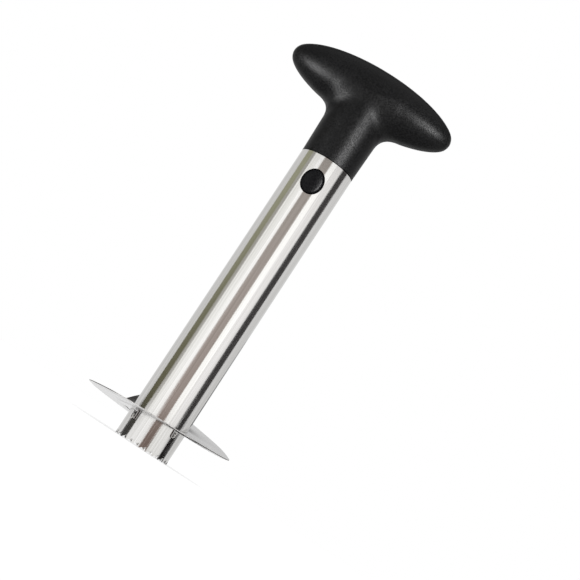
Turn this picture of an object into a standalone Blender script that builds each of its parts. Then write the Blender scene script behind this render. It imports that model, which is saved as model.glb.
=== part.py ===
"""Pineapple corer and slicer: a toothed steel tube with a spiral blade, and a T handle that pulls off.

Metres, +Z up the tube. The origin is the centre of the circle of tooth tips, the front (the release
button's side) looks along -Y and the handle's bar lies along X. Angles go round the tube from the front
towards +X.
"""
import math

import bmesh
import bpy
from mathutils import Matrix, Vector

# Corer tube
TUBE_RADIUS = 0.0160
TUBE_WALL = 0.0008
TUBE_HEIGHT = 0.1830
TOOTH_COUNT = 24
TOOTH_DEPTH = 0.0022
TOOTH_LAND_SHARE = 0.12
TOOTH_MIDDLE_SHARE = 0.50
TOOTH_ROOT_SHARE = 0.86

# Slicing blade, a sheet that climbs round the tube and is cut open at the back
BLADE_RADIUS = 0.0425
BLADE_THICKNESS = 0.0010
BLADE_LEVEL = 0.0179
BLADE_RIM_WIDTH = 0.0026
BLADE_KEEN_SHARE = 0.35
BLADE_STEPS = 90
SLIT_ANGLE = math.radians(197.7)
SLIT_RADIUS = 0.0240
SLIT_WIDTH = 0.0006
RETURN_SWEEP = math.radians(72.0)
RETURN_STEPS = 18

# How far the top of the sheet stands over its level at the front, by the angle
BLADE_RISES = (
    (SLIT_ANGLE - math.tau, -0.0047),
    (math.radians(-112.8), -0.0031),
    (math.radians(-57.8), -0.0018),
    (math.radians(-22.8), -0.0005),
    (math.radians(32.2), 0.0003),
    (math.radians(62.2), 0.0011),
    (math.radians(102.2), 0.0028),
    (math.radians(132.2), 0.0058),
    (SLIT_ANGLE, 0.0116),
)

# Tabs bent down from the blade's inner edge, each with a bead of weld under it
TAB_THICKNESS = 0.0008
TAB_WIDTH = 0.0026
WELD_HALF_WIDTH = 0.0017
WELD_HALF_DEPTH = 0.0011
WELD_FLAT_SHARE = 0.25
TABS = {
    "front_left": {"angle": math.radians(-42.1), "drop": 0.0050, "weld_height": 0.0023},
    "front_right": {"angle": math.radians(46.5), "drop": 0.0040, "weld_height": 0.0023},
    "rear_right": {"angle": math.radians(135.7), "drop": 0.0046, "weld_height": 0.0024},
    "rear": {"angle": math.radians(187.7), "drop": 0.0046, "weld_height": 0.0022},
}

# T handle, moulded in a front and a rear shell
HANDLE_LENGTH = 0.1018
HANDLE_BAR_HEIGHT = 0.0327
HANDLE_BAR_DEPTH = 0.0336
HANDLE_BAR_LEVEL = 0.0465
HANDLE_WALL = 0.0025
NECK_WAIST_RADIUS = 0.0167
NECK_FILLET = 0.0060
NECK_FLARE_SHARE = 0.30
NECK_FLARE_DROP_SHARE = 0.25
NECK_TOP_SHARE = 0.75

# Stem, the hollow spigot that carries the handle in the tube, and the pin through it
STEM_DEPTH = 0.0440
STEM_WALL = 0.0030
STEM_NECK_HEIGHT = 0.0200
STEM_CHAMFER = 0.0010
PIN_RADIUS = 0.0020
PIN_HEIGHT = 0.0105
PIN_BITE = 0.0015

# Release latch: a button on a springy arm whose foot is screwed to the stem
BUTTON_DROP = 0.0152
BUTTON_HOLE_WIDTH = 0.0127
BUTTON_HOLE_HEIGHT = 0.0150
BUTTON_GROOVE = 0.0006
BUTTON_PROUD = 0.0005
WINDOW_GAP = 0.0004
WINDOW_HEADROOM = 0.0006
ARM_LENGTH = 0.0240
ARM_WIDTH = 0.0080
ARM_THICKNESS = 0.0018
FOOT_WIDTH = 0.0070
FOOT_HEIGHT = 0.0050
FOOT_DEPTH = 0.0046
LATCH_SCREW_RADIUS = 0.00125
LATCH_SCREW_HEAD_RADIUS = 0.0024
LATCH_SCREW_HEAD_HEIGHT = 0.0014
LATCH_SCREW_SINK = 0.0002

# Three screws from the rear that close the handle
SHELL_SCREW_RADIUS = 0.0014
SHELL_SCREW_HEAD_RADIUS = 0.0028
SHELL_SCREW_HEAD_HEIGHT = 0.0018
SHELL_SCREW_SEAT = 0.0060
SHELL_SCREW_REACH = 0.0075
SHELL_SCREW_SLOT = 0.0008
SHELL_SCREW_SIDE_SHARE = 0.285
BOSS_WALL = 0.0016
BOSS_SINK_SHARE = 0.25
SHELL_SCREWS = {
    "left": {"side": -HANDLE_LENGTH * SHELL_SCREW_SIDE_SHARE, "rise": 0.0},
    "right": {"side": HANDLE_LENGTH * SHELL_SCREW_SIDE_SHARE, "rise": 0.0},
    "middle": {"side": 0.0, "rise": 0.0020},
}

# Clearances and mesh fineness
FIT_GAP = 0.0003
CUT_OVERRUN = 0.0040
MERGE_DISTANCE = 0.00001
ROUND_STEPS = 48
SMALL_STEPS = 20
SHARP_ANGLE = math.radians(35.0)

# Places that follow from the sizes
TUBE_BORE = TUBE_RADIUS - TUBE_WALL
BLADE_BORE = TUBE_RADIUS + FIT_GAP
RIM_GAP_TOP = TUBE_HEIGHT + FIT_GAP
BAR_LEVEL = TUBE_HEIGHT + HANDLE_BAR_LEVEL
STEM_RADIUS = TUBE_BORE - FIT_GAP
STEM_BORE = STEM_RADIUS - STEM_WALL
STEM_NECK_RADIUS = TUBE_RADIUS - HANDLE_WALL - FIT_GAP
STEM_BOTTOM = TUBE_HEIGHT - STEM_DEPTH
STEM_TOP = TUBE_HEIGHT + STEM_NECK_HEIGHT
PIN_LEVEL = TUBE_HEIGHT + PIN_HEIGHT
PIN_HALF_LENGTH = STEM_NECK_RADIUS + FIT_GAP + PIN_BITE
BUTTON_LEVEL = TUBE_HEIGHT - BUTTON_DROP
FOOT_LEVEL = BUTTON_LEVEL - ARM_LENGTH
ARM_FACE = math.sqrt(STEM_BORE ** 2 - (ARM_WIDTH / 2) ** 2) - FIT_GAP
FOOT_MIDDLE = ARM_FACE - FOOT_DEPTH / 2


def start_again():
    """Removes every object and collection of the open scene."""
    for item in list(bpy.data.objects):
        bpy.data.objects.remove(item)
    for group in list(bpy.data.collections):
        bpy.data.collections.remove(group)


def new_group(name):
    """Adds a collection to the scene."""
    group = bpy.data.collections.new(name)
    bpy.context.scene.collection.children.link(group)
    return group


start_again()
PARTS = new_group("pineapple_slicer")
GUIDES = new_group("cutters_and_guides")


def finish(name, color, roughness, metallic):
    """Makes a Principled material."""
    material = bpy.data.materials.new(name)
    material.use_nodes = True
    shader = material.node_tree.nodes["Principled BSDF"]
    shader.inputs["Base Color"].default_value = (*color, 1.0)
    shader.inputs["Roughness"].default_value = roughness
    shader.inputs["Metallic"].default_value = metallic
    material.diffuse_color = (*color, 1.0)
    return material


def around(radius, angle, height):
    """The point at a distance from the tube's axis, an angle from the front and a height."""
    return Vector((radius * math.sin(angle), -radius * math.cos(angle), height))


def add_shape(name, shape, material=None):
    """Turns a bmesh into an object: a part where it has a material, otherwise a guide."""
    mesh = bpy.data.meshes.new(name)
    shape.to_mesh(mesh)
    shape.free()
    mesh.shade_smooth()
    mesh.set_sharp_from_angle(angle=SHARP_ANGLE)
    item = bpy.data.objects.new(name, mesh)
    if material:
        mesh.materials.append(material)
        PARTS.objects.link(item)
    else:
        GUIDES.objects.link(item)
        item.hide_render = True
        item.display_type = "WIRE"
    return item


def boolean(item, other, operation):
    """Adds a Boolean of another object to an object."""
    step = item.modifiers.new(f"{operation}_{other.name}", "BOOLEAN")
    step.operation = operation
    step.solver = "EXACT"
    step.object = other


def block(name, low, high, material=None):
    """A box between two corners."""
    shape = bmesh.new()
    bmesh.ops.create_cube(shape, size=1.0)
    span = Vector(high) - Vector(low)
    middle = (Vector(high) + Vector(low)) / 2
    bmesh.ops.scale(shape, vec=span, verts=shape.verts)
    bmesh.ops.translate(shape, vec=middle, verts=shape.verts)
    return add_shape(name, shape, material)


def rod(name, start, end, radius, across=None, steps=SMALL_STEPS, material=None):
    """A round or, with a second radius across, an oval rod between two points."""
    shape = bmesh.new()
    line = Vector(end) - Vector(start)
    bmesh.ops.create_cone(shape, cap_ends=True, segments=steps, radius1=1.0, radius2=1.0, depth=line.length)
    bmesh.ops.rotate(shape, matrix=Matrix.Rotation(math.pi / steps, 3, "Z"), verts=shape.verts)
    bmesh.ops.scale(shape, vec=(radius, across or radius, 1.0), verts=shape.verts)
    turn = line.to_track_quat("Z", "Y").to_matrix().to_4x4()
    middle = Matrix.Translation((Vector(start) + Vector(end)) / 2)
    bmesh.ops.transform(shape, matrix=middle @ turn, verts=shape.verts)
    return add_shape(name, shape, material)


def turned(name, profile, steps, material=None):
    """Turns a closed profile of (radius, height) points, given down its outer side first, about Z."""
    shape = bmesh.new()
    corners = [shape.verts.new((radius, 0.0, height)) for radius, height in profile]
    for index, corner in enumerate(corners):
        shape.edges.new((corner, corners[(index + 1) % len(corners)]))
    item = add_shape(name, shape, material)
    step = item.modifiers.new("turn", "SCREW")
    step.axis = "Z"
    step.angle = math.tau
    step.steps = steps
    step.render_steps = steps
    step.merge_threshold = MERGE_DISTANCE
    return item


def button_oval(name, start, end, margin, material=None):
    """An oval rod along Y at the button's place, as wide as the hole in the tube less a margin."""
    return rod(name, (0.0, -start, BUTTON_LEVEL), (0.0, -end, BUTTON_LEVEL), BUTTON_HOLE_WIDTH / 2 - margin,
               BUTTON_HOLE_HEIGHT / 2 - margin, ROUND_STEPS, material)


def corer_tube(steel):
    """The tube: a sheet rolled round, with sawteeth along its lower edge and an oval button hole."""
    shape = bmesh.new()
    pitch = math.tau / TOOTH_COUNT
    tooth = ((0.0, 0.0), (TOOTH_LAND_SHARE, 0.0), (TOOTH_MIDDLE_SHARE, None), (TOOTH_ROOT_SHARE, TOOTH_DEPTH))
    slope = (TOOTH_MIDDLE_SHARE - TOOTH_LAND_SHARE) / (TOOTH_ROOT_SHARE - TOOTH_LAND_SHARE)
    lower, upper = [], []
    for index in range(TOOTH_COUNT):
        for share, height in tooth:
            angle = (index + share) * pitch
            height = TOOTH_DEPTH * slope if height is None else height
            lower.append(shape.verts.new(around(TUBE_RADIUS, angle, height)))
            upper.append(shape.verts.new(around(TUBE_RADIUS, angle, TUBE_HEIGHT)))
    for index in range(len(lower)):
        after = (index + 1) % len(lower)
        shape.faces.new((lower[index], lower[after], upper[after], upper[index]))
    tube = add_shape("corer_tube", shape, steel)
    wall = tube.modifiers.new("wall", "SOLIDIFY")
    wall.thickness = TUBE_WALL
    wall.offset = -1.0
    wall.use_even_offset = True
    hole = button_oval("button_hole", TUBE_RADIUS + CUT_OVERRUN, TUBE_BORE - CUT_OVERRUN, 0.0)
    boolean(tube, hole, "DIFFERENCE")
    return tube


def sheet_level(angle):
    """The height of the sheet's top at an angle before the return, eased between the given rises."""
    last = len(BLADE_RISES) - 1
    index = next(index for index in range(1, last + 1) if angle <= BLADE_RISES[index][0] or index == last)
    (start, low), (end, high) = BLADE_RISES[index - 1:index + 1]
    before, after = BLADE_RISES[max(index - 2, 0)], BLADE_RISES[min(index + 1, last)]
    start_slope = (high - before[1]) / (end - before[0])
    end_slope = (after[1] - low) / (after[0] - start)
    share = (angle - start) / (end - start)
    rest = 1 - share
    bend = (end - start) * share * rest * (start_slope * rest - end_slope * share)
    return BLADE_LEVEL + low * (1 + 2 * share) * rest * rest + high * share * share * (3 - 2 * share) + bend


def return_level(angle):
    """The same for the inner band that returns from the sheet's upper end to its lower one."""
    share = (angle - SLIT_ANGLE) / RETURN_SWEEP
    eased = share * share * (3 - 2 * share)
    upper = sheet_level(SLIT_ANGLE)
    lower = sheet_level(SLIT_ANGLE + RETURN_SWEEP - math.tau)
    return upper + (lower - upper) * eased


def slicing_blade(steel):
    """The blade: one spiral sheet with a slit, a return band inside it, and tabs bent down at the tube."""
    shape = bmesh.new()
    keen = shape.verts.layers.deform.verify()
    inner = (BLADE_BORE, SLIT_RADIUS)
    outer = (SLIT_RADIUS + SLIT_WIDTH, BLADE_RADIUS - BLADE_RIM_WIDTH, BLADE_RADIUS)
    first = SLIT_ANGLE - math.tau
    join = round(RETURN_SWEEP / math.tau * BLADE_STEPS)
    columns = []
    for index in range(BLADE_STEPS + 1):
        angle = first + math.tau * index / BLADE_STEPS
        column = {}
        for radius in outer + (inner if index >= join else ()):
            corner = shape.verts.new(around(radius, angle, sheet_level(angle)))
            sharp = radius == BLADE_RADIUS or index == 0
            corner[keen][0] = BLADE_KEEN_SHARE if sharp else 1.0
            column[radius] = corner
        columns.append(column)
    for near, far in zip(columns, columns[1:]):
        radii = sorted(set(near) & set(far))
        for small, large in zip(radii, radii[1:]):
            shape.faces.new((near[small], near[large], far[large], far[small]))
    band = [columns[-1]]
    for index in range(1, RETURN_STEPS):
        angle = SLIT_ANGLE + RETURN_SWEEP * index / RETURN_STEPS
        level = return_level(angle)
        row = {radius: shape.verts.new(around(radius, angle, level)) for radius in inner}
        for corner in row.values():
            corner[keen][0] = 1.0
        band.append(row)
    band.append(columns[join])
    for near, far in zip(band, band[1:]):
        small, large = inner
        shape.faces.new((near[small], near[large], far[large], far[small]))
    blade = add_shape("slicing_blade", shape, steel)
    blade.vertex_groups.new(name="thickness")
    wall = blade.modifiers.new("sheet", "SOLIDIFY")
    wall.thickness = BLADE_THICKNESS
    wall.offset = -1.0
    wall.use_even_offset = True
    wall.vertex_group = "thickness"
    for place, tab in TABS.items():
        boolean(blade, blade_tab(place, tab), "UNION")
    return blade


def blade_tab(place, tab):
    """A tab's guide: a plate against the tube whose top follows the sheet."""
    half = math.atan2(TAB_WIDTH / 2, BLADE_BORE)
    shape = bmesh.new()
    corners = []
    for angle in (tab["angle"] - half, tab["angle"] + half):
        top = sheet_level(angle) - BLADE_THICKNESS / 2
        bottom = sheet_level(tab["angle"]) - tab["drop"]
        for radius in (BLADE_BORE, BLADE_BORE + TAB_THICKNESS):
            reach = radius / math.cos(half)
            corners += [shape.verts.new(around(reach, angle, height)) for height in (bottom, top)]
    bmesh.ops.convex_hull(shape, input=corners)
    return add_shape(f"tab_{place}", shape)


def weld_bead(place, tab, steel):
    """The bead of weld under a tab, flat where it lies on the tube."""
    shape = bmesh.new()
    bmesh.ops.create_uvsphere(shape, u_segments=SMALL_STEPS, v_segments=SMALL_STEPS // 2, radius=1.0)
    half_height = tab["weld_height"] / 2
    size = (WELD_HALF_WIDTH, WELD_HALF_DEPTH, half_height)
    bmesh.ops.scale(shape, vec=size, verts=shape.verts)
    flat = WELD_HALF_DEPTH * WELD_FLAT_SHARE
    bmesh.ops.bisect_plane(shape, geom=shape.verts[:] + shape.edges[:] + shape.faces[:],
                           plane_co=(0.0, flat, 0.0), plane_no=(0.0, 1.0, 0.0), clear_outer=True)
    bmesh.ops.holes_fill(shape, edges=[edge for edge in shape.edges if edge.is_boundary])
    top = sheet_level(tab["angle"]) - tab["drop"] - FIT_GAP
    bead = add_shape(f"weld_bead_{place}", shape, steel)
    bead.location = around(BLADE_BORE + flat, tab["angle"], top - half_height)
    bead.rotation_euler.z = tab["angle"]
    return bead


def handle_cage():
    """The coarse cage of the T: an oval bar of rings along X, with the neck drawn out of its underside."""
    sides = 8
    shrink = (4 + 2 * math.cos(math.tau / sides)) / 6
    slant = math.pi / sides
    lengthwise = (4 + 2 * math.cos(slant)) / 6
    turns = [slant * step for step in range(-3, 4)]
    length = HANDLE_LENGTH / 2 / lengthwise
    height, depth = (size / 2 / shrink / lengthwise for size in (HANDLE_BAR_HEIGHT, HANDLE_BAR_DEPTH))
    shape = bmesh.new()
    rings = []
    for turn in turns:
        ring = []
        for side in range(sides):
            spin = math.tau * side / sides
            ring.append(shape.verts.new((length * math.sin(turn), -depth * math.cos(turn) * math.sin(spin),
                                         BAR_LEVEL + height * math.cos(turn) * math.cos(spin))))
        rings.append(ring)
    middle = len(rings) // 2
    for index, (near, far) in enumerate(zip(rings, rings[1:])):
        for side in range(sides):
            if index in (middle - 1, middle) and side in (3, 4):
                continue
            after = (side + 1) % sides
            shape.faces.new((near[side], near[after], far[after], far[side]))
    for ring, tip in ((rings[0], -length), (rings[-1], length)):
        pole = shape.verts.new((tip, 0.0, BAR_LEVEL))
        for side in range(sides):
            after = (side + 1) % sides
            corners = (ring[side], pole, ring[after]) if tip < 0 else (ring[side], ring[after], pole)
            shape.faces.new(corners)
    near, centre, far = rings[middle - 1:middle + 2]
    bmesh.ops.delete(shape, geom=[centre[4]], context="VERTS")
    waist = NECK_WAIST_RADIUS / shrink
    for side, deep in ((3, -waist), (5, waist)):
        centre[side].co.yz = (deep, BAR_LEVEL - height * NECK_TOP_SHARE)
    loop = [far[4], far[3], centre[3], near[3], near[4], near[5], centre[5], far[5]]
    under = BAR_LEVEL - HANDLE_BAR_HEIGHT / 2
    rim = TUBE_RADIUS / shrink
    neck = ((waist + NECK_FILLET * NECK_FLARE_SHARE, waist, under - NECK_FILLET * NECK_FLARE_DROP_SHARE),
            (waist, waist, under - NECK_FILLET),
            ((waist + rim) / 2, (waist + rim) / 2, (under + TUBE_HEIGHT) / 2),
            (rim, rim, TUBE_HEIGHT), (rim, rim, TUBE_HEIGHT - CUT_OVERRUN))
    for across, deep, level in neck:
        lower = []
        for side in range(sides):
            spin = math.pi / 2 - math.tau * side / sides
            lower.append(shape.verts.new((across * math.sin(spin), -deep * math.cos(spin), level)))
        for side in range(sides):
            after = (side + 1) % sides
            shape.faces.new((loop[side], loop[after], lower[after], lower[side]))
        loop = lower
    bmesh.ops.recalc_face_normals(shape, faces=shape.faces)
    return shape


def bar_half_depth(side, rise):
    """The depth of the bar's surface in front of the middle plane, at a place of its front view."""
    left = 1 - (2 * side / HANDLE_LENGTH) ** 2 - (2 * rise / HANDLE_BAR_HEIGHT) ** 2
    return HANDLE_BAR_DEPTH / 2 * math.sqrt(left)


def handle_shell(name, front, plastic):
    """One hollow half of the handle, with screw bosses and half of the pin's seats.

    front is -1 for the front shell and 1 for the rear one, which holds the screw heads.
    """
    shell = add_shape(name, handle_cage(), plastic)
    curve = shell.modifiers.new("round", "SUBSURF")
    curve.levels = 2
    curve.render_levels = 2
    wall = shell.modifiers.new("wall", "SOLIDIFY")
    wall.thickness = HANDLE_WALL
    wall.offset = -1.0
    wall.use_even_offset = True
    reach = HANDLE_LENGTH
    top = BAR_LEVEL + HANDLE_BAR_HEIGHT
    parting = FIT_GAP / 2
    for place, screw in SHELL_SCREWS.items():
        level = BAR_LEVEL + screw["rise"]
        radius = BOSS_WALL + FIT_GAP + (SHELL_SCREW_RADIUS if front < 0 else SHELL_SCREW_HEAD_RADIUS)
        skin = bar_half_depth(abs(screw["side"]) + radius, abs(screw["rise"]) + radius)
        end = skin - HANDLE_WALL * BOSS_SINK_SHARE
        boss = rod(f"{name}_boss_{place}", (screw["side"], 0.0, level), (screw["side"], front * end, level),
                   radius)
        boolean(shell, boss, "UNION")
    near, far = sorted((front * parting, -front * reach))
    other = block(f"{name}_other_half", (-reach, near, 0.0), (reach, far, top))
    boolean(shell, other, "DIFFERENCE")
    below = block(f"{name}_below", (-reach, -reach, 0.0), (reach, reach, RIM_GAP_TOP))
    boolean(shell, below, "DIFFERENCE")
    for place, screw in SHELL_SCREWS.items():
        boolean(shell, screw_hole(f"{name}_hole_{place}", screw), "DIFFERENCE")
    seat_length = PIN_HALF_LENGTH + FIT_GAP
    seat = rod(f"{name}_pin_seat", (-seat_length, 0.0, PIN_LEVEL), (seat_length, 0.0, PIN_LEVEL),
               PIN_RADIUS + FIT_GAP)
    boolean(shell, seat, "DIFFERENCE")
    return shell


def screw_hole(name, screw):
    """The stepped hole that a shell screw and its head need."""
    shank = SHELL_SCREW_RADIUS + FIT_GAP
    head = SHELL_SCREW_HEAD_RADIUS + FIT_GAP
    tip = -SHELL_SCREW_REACH - FIT_GAP
    profile = ((0.0, HANDLE_LENGTH), (head, HANDLE_LENGTH), (head, SHELL_SCREW_SEAT),
               (shank, SHELL_SCREW_SEAT), (shank, tip), (0.0, tip))
    hole = solid_of_revolution(name, profile)
    hole.location = (screw["side"], 0.0, BAR_LEVEL + screw["rise"])
    hole.rotation_euler.x = -math.pi / 2
    return hole


def shell_screw(place, screw, steel):
    """A slotted screw from the rear shell into the front one."""
    base = SHELL_SCREW_SEAT + FIT_GAP
    length = base + SHELL_SCREW_REACH
    top = length + SHELL_SCREW_HEAD_HEIGHT
    profile = ((0.0, top), (SHELL_SCREW_HEAD_RADIUS, top), (SHELL_SCREW_HEAD_RADIUS, length),
               (SHELL_SCREW_RADIUS, length), (SHELL_SCREW_RADIUS, SHELL_SCREW_RADIUS), (0.0, 0.0))
    item = solid_of_revolution(f"handle_screw_{place}", profile, steel)
    slot = block(f"slot_{place}", (-SHELL_SCREW_HEAD_RADIUS - CUT_OVERRUN, -SHELL_SCREW_SLOT / 2, 0.0),
                 (SHELL_SCREW_HEAD_RADIUS + CUT_OVERRUN, SHELL_SCREW_SLOT / 2, CUT_OVERRUN))
    slot.location.z = top - SHELL_SCREW_SLOT
    slot.parent = item
    boolean(item, slot, "DIFFERENCE")
    item.location = (screw["side"], -SHELL_SCREW_REACH, BAR_LEVEL + screw["rise"])
    item.rotation_euler.x = -math.pi / 2
    return item


def solid_of_revolution(name, profile, material=None):
    """A turned solid whose profile starts and ends on the axis."""
    shape = bmesh.new()
    corners = [shape.verts.new(around(radius, math.pi / SMALL_STEPS, height)) for radius, height in profile]
    edges = [shape.edges.new(pair) for pair in zip(corners, corners[1:])]
    bmesh.ops.spin(shape, geom=corners + edges, cent=(0.0, 0.0, 0.0), axis=(0.0, 0.0, 1.0), angle=math.tau,
                   steps=SMALL_STEPS, use_merge=True)
    bmesh.ops.remove_doubles(shape, verts=shape.verts, dist=MERGE_DISTANCE)
    bmesh.ops.recalc_face_normals(shape, faces=shape.faces)
    return add_shape(name, shape, material)


def handle_stem(plastic):
    """The hollow stem, with the button's window, the pin's hole and the latch screw's countersink.

    The window is higher than the button, whose top rises as it swings in.
    """
    profile = ((STEM_NECK_RADIUS, STEM_TOP), (STEM_NECK_RADIUS, TUBE_HEIGHT), (STEM_RADIUS, TUBE_HEIGHT),
               (STEM_RADIUS, STEM_BOTTOM + STEM_CHAMFER), (STEM_RADIUS - STEM_CHAMFER, STEM_BOTTOM),
               (STEM_BORE, STEM_BOTTOM), (STEM_BORE, TUBE_HEIGHT - STEM_WALL),
               (STEM_NECK_RADIUS - STEM_WALL, TUBE_HEIGHT), (STEM_NECK_RADIUS - STEM_WALL, STEM_TOP))
    stem = turned("handle_stem", profile, ROUND_STEPS, plastic)
    level = BUTTON_LEVEL + WINDOW_HEADROOM / 2
    margin = BUTTON_GROOVE - WINDOW_GAP
    window = rod("button_window", (0.0, -TUBE_RADIUS, level), (0.0, -STEM_BORE / 2, level),
                 BUTTON_HOLE_WIDTH / 2 - margin, BUTTON_HOLE_HEIGHT / 2 - margin + WINDOW_HEADROOM / 2,
                 ROUND_STEPS)
    boolean(stem, window, "DIFFERENCE")
    length = STEM_NECK_RADIUS + CUT_OVERRUN
    cross = rod("pin_hole", (-length, 0.0, PIN_LEVEL), (length, 0.0, PIN_LEVEL), PIN_RADIUS + FIT_GAP)
    boolean(stem, cross, "DIFFERENCE")
    boolean(stem, latch_screw_shape("latch_screw_hole", FIT_GAP, CUT_OVERRUN), "DIFFERENCE")
    return stem


def latch_screw_shape(name, margin, overrun, material=None):
    """The countersunk latch screw along +Y, or with a margin and an overrun the hole that it needs."""
    face = STEM_RADIUS - LATCH_SCREW_SINK
    tip = FOOT_MIDDLE - FOOT_DEPTH / 2 - overrun
    head = LATCH_SCREW_HEAD_RADIUS + margin
    shank = LATCH_SCREW_RADIUS + margin
    profile = [(0.0, face + overrun), (head, face + overrun), (head, face),
               (shank, face - LATCH_SCREW_HEAD_HEIGHT), (shank, tip), (0.0, tip)]
    if not overrun:
        profile.pop(1)
    item = solid_of_revolution(name, profile, material)
    item.location.z = FOOT_LEVEL
    item.rotation_euler.x = math.pi / 2
    return item


def release_latch(plastic):
    """The latch: an oval button whose face follows the tube, its arm inside the stem and its foot."""
    hinge = Vector((0.0, -FOOT_MIDDLE, FOOT_LEVEL))
    inside = ARM_FACE - ARM_THICKNESS / 2
    latch = button_oval("release_latch", TUBE_RADIUS + CUT_OVERRUN, inside, BUTTON_GROOVE, plastic)
    face = rod("button_face", (0.0, 0.0, FOOT_LEVEL), (0.0, 0.0, TUBE_HEIGHT), TUBE_RADIUS + BUTTON_PROUD,
               steps=2 * ROUND_STEPS)
    boolean(latch, face, "INTERSECT")
    top = BUTTON_LEVEL + BUTTON_HOLE_HEIGHT / 2 - BUTTON_GROOVE
    arm = block("latch_arm", (-ARM_WIDTH / 2, -ARM_FACE, FOOT_LEVEL),
                (ARM_WIDTH / 2, -ARM_FACE + ARM_THICKNESS, top))
    boolean(latch, arm, "UNION")
    foot = block("latch_foot", (-FOOT_WIDTH / 2, -ARM_FACE, FOOT_LEVEL - FOOT_HEIGHT / 2),
                 (FOOT_WIDTH / 2, -ARM_FACE + FOOT_DEPTH, FOOT_LEVEL + FOOT_HEIGHT / 2))
    boolean(latch, foot, "UNION")
    bore = rod("foot_bore", (0.0, -STEM_RADIUS, FOOT_LEVEL), (0.0, 0.0, FOOT_LEVEL),
               LATCH_SCREW_RADIUS + FIT_GAP)
    boolean(latch, bore, "DIFFERENCE")
    latch.data.transform(Matrix.Translation(-hinge))
    latch.location = hinge
    return latch


def build():
    """Makes every piece."""
    steel = finish("brushed steel", (0.62, 0.61, 0.60), 0.28, 1.0)
    blade_steel = finish("polished steel", (0.68, 0.68, 0.69), 0.22, 1.0)
    weld_steel = finish("weld", (0.45, 0.43, 0.41), 0.5, 1.0)
    black = finish("black plastic", (0.018, 0.018, 0.020), 0.42, 0.0)
    screw_steel = finish("screw steel", (0.55, 0.55, 0.56), 0.35, 1.0)
    corer_tube(steel)
    slicing_blade(blade_steel)
    for place, tab in TABS.items():
        weld_bead(place, tab, weld_steel)
    handle_shell("handle_front_shell", -1, black)
    handle_shell("handle_rear_shell", 1, black)
    for place, screw in SHELL_SCREWS.items():
        shell_screw(place, screw, screw_steel)
    handle_stem(black)
    rod("stem_pin", (-PIN_HALF_LENGTH, 0.0, PIN_LEVEL), (PIN_HALF_LENGTH, 0.0, PIN_LEVEL), PIN_RADIUS,
        material=screw_steel)
    latch_screw_shape("latch_screw", 0.0, 0.0, screw_steel)
    release_latch(black)


build()
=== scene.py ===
"""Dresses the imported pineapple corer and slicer, and lights it in a plain pale studio.

Metres, in the model's own frame: +Z up the tube, the handle's bar along X, the release button towards -Y.
Angles go round the tube from the front (-Y) towards +X.
"""
import logging
import math
from dataclasses import dataclass, field
from enum import Enum
from typing import Any, Callable, ClassVar, Iterable, Sequence

import bmesh
import bpy
from mathutils import Matrix, Vector
from mathutils.bvhtree import BVHTree
from mathutils.interpolate import poly_3d_calc


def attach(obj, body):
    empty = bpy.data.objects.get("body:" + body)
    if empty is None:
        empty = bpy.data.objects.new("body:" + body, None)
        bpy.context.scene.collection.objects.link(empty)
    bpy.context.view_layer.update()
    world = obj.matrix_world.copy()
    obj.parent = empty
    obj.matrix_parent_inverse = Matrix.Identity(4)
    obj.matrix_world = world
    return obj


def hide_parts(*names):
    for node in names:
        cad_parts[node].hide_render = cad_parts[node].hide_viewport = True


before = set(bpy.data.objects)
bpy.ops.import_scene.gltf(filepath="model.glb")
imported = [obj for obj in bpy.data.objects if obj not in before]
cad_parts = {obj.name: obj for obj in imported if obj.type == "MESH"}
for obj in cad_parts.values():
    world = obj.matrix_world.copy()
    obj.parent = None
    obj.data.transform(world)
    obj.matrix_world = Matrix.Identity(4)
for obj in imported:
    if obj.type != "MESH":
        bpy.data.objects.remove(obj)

Color = tuple[float, float, float]
Point = tuple[float, float, float]
Span = tuple[float, float]
Item = bpy.types.Object
Material = bpy.types.Material
Shape = bmesh.types.BMesh
Corner = bmesh.types.BMVert
NormalRule = Callable[[Vector, Vector], Vector | None]

LOG = logging.getLogger("pineapple_slicer")
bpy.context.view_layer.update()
TUBE_RADIUS = 0.0160
TUBE_HEIGHT = 0.1830
PIN_LEVEL = 0.1935
PIN_RADIUS = 0.0020
FIT_GAP = 0.0003
CUT_OVERRUN = 0.004
SAME_PLACE = 0.00001
FINE_EDGE = 15.0
CUT_EDGE = 30.0
MOULDED_EDGE = 35.0
NO_EDGE = 180.0
WALL_FACING = 0.97
SKIN_FACING = 0.9
SKIN_REACH = 0.00003
SCREW_SIDES = 48
HOLE_TURN = 0.05
WHITE = (1.0, 1.0, 1.0)
QUARTER_TURN = [math.pi / 2 * step / 6 for step in range(7)]
UP = Vector((0.0, 0.0, 1.0))


class Body(Enum):
    """The model's moving bodies."""

    CORER = "corer"
    HANDLE = "handle"
    LATCH = "latch"


class Slot(Enum):
    """The record's material slots."""

    TUBE_STEEL = "tube_steel"
    BLADE_STEEL = "blade_steel"
    WELD_STEEL = "weld_steel"
    SCREW_STEEL = "screw_steel"
    BLACK_PLASTIC = "black_plastic"
    BUTTON_PLASTIC = "button_plastic"


@dataclass(frozen=True)
class Value:
    """A node's output whose arithmetic adds Math nodes to its tree."""

    tree: "Tree"
    socket: bpy.types.NodeSocket

    def __add__(self, other: "Value | float") -> "Value":
        """The sum."""
        return self.tree.math("ADD", self, other)

    def __sub__(self, other: "Value | float") -> "Value":
        """The difference."""
        return self.tree.math("SUBTRACT", self, other)

    def __rsub__(self, other: float) -> "Value":
        """A number less this value."""
        return self.tree.math("SUBTRACT", other, self)

    def __mul__(self, other: "Value | float") -> "Value":
        """The product."""
        return self.tree.math("MULTIPLY", self, other)

    def __truediv__(self, other: "Value | float") -> "Value":
        """The quotient."""
        return self.tree.math("DIVIDE", self, other)

    __radd__ = __add__
    __rmul__ = __mul__


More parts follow.
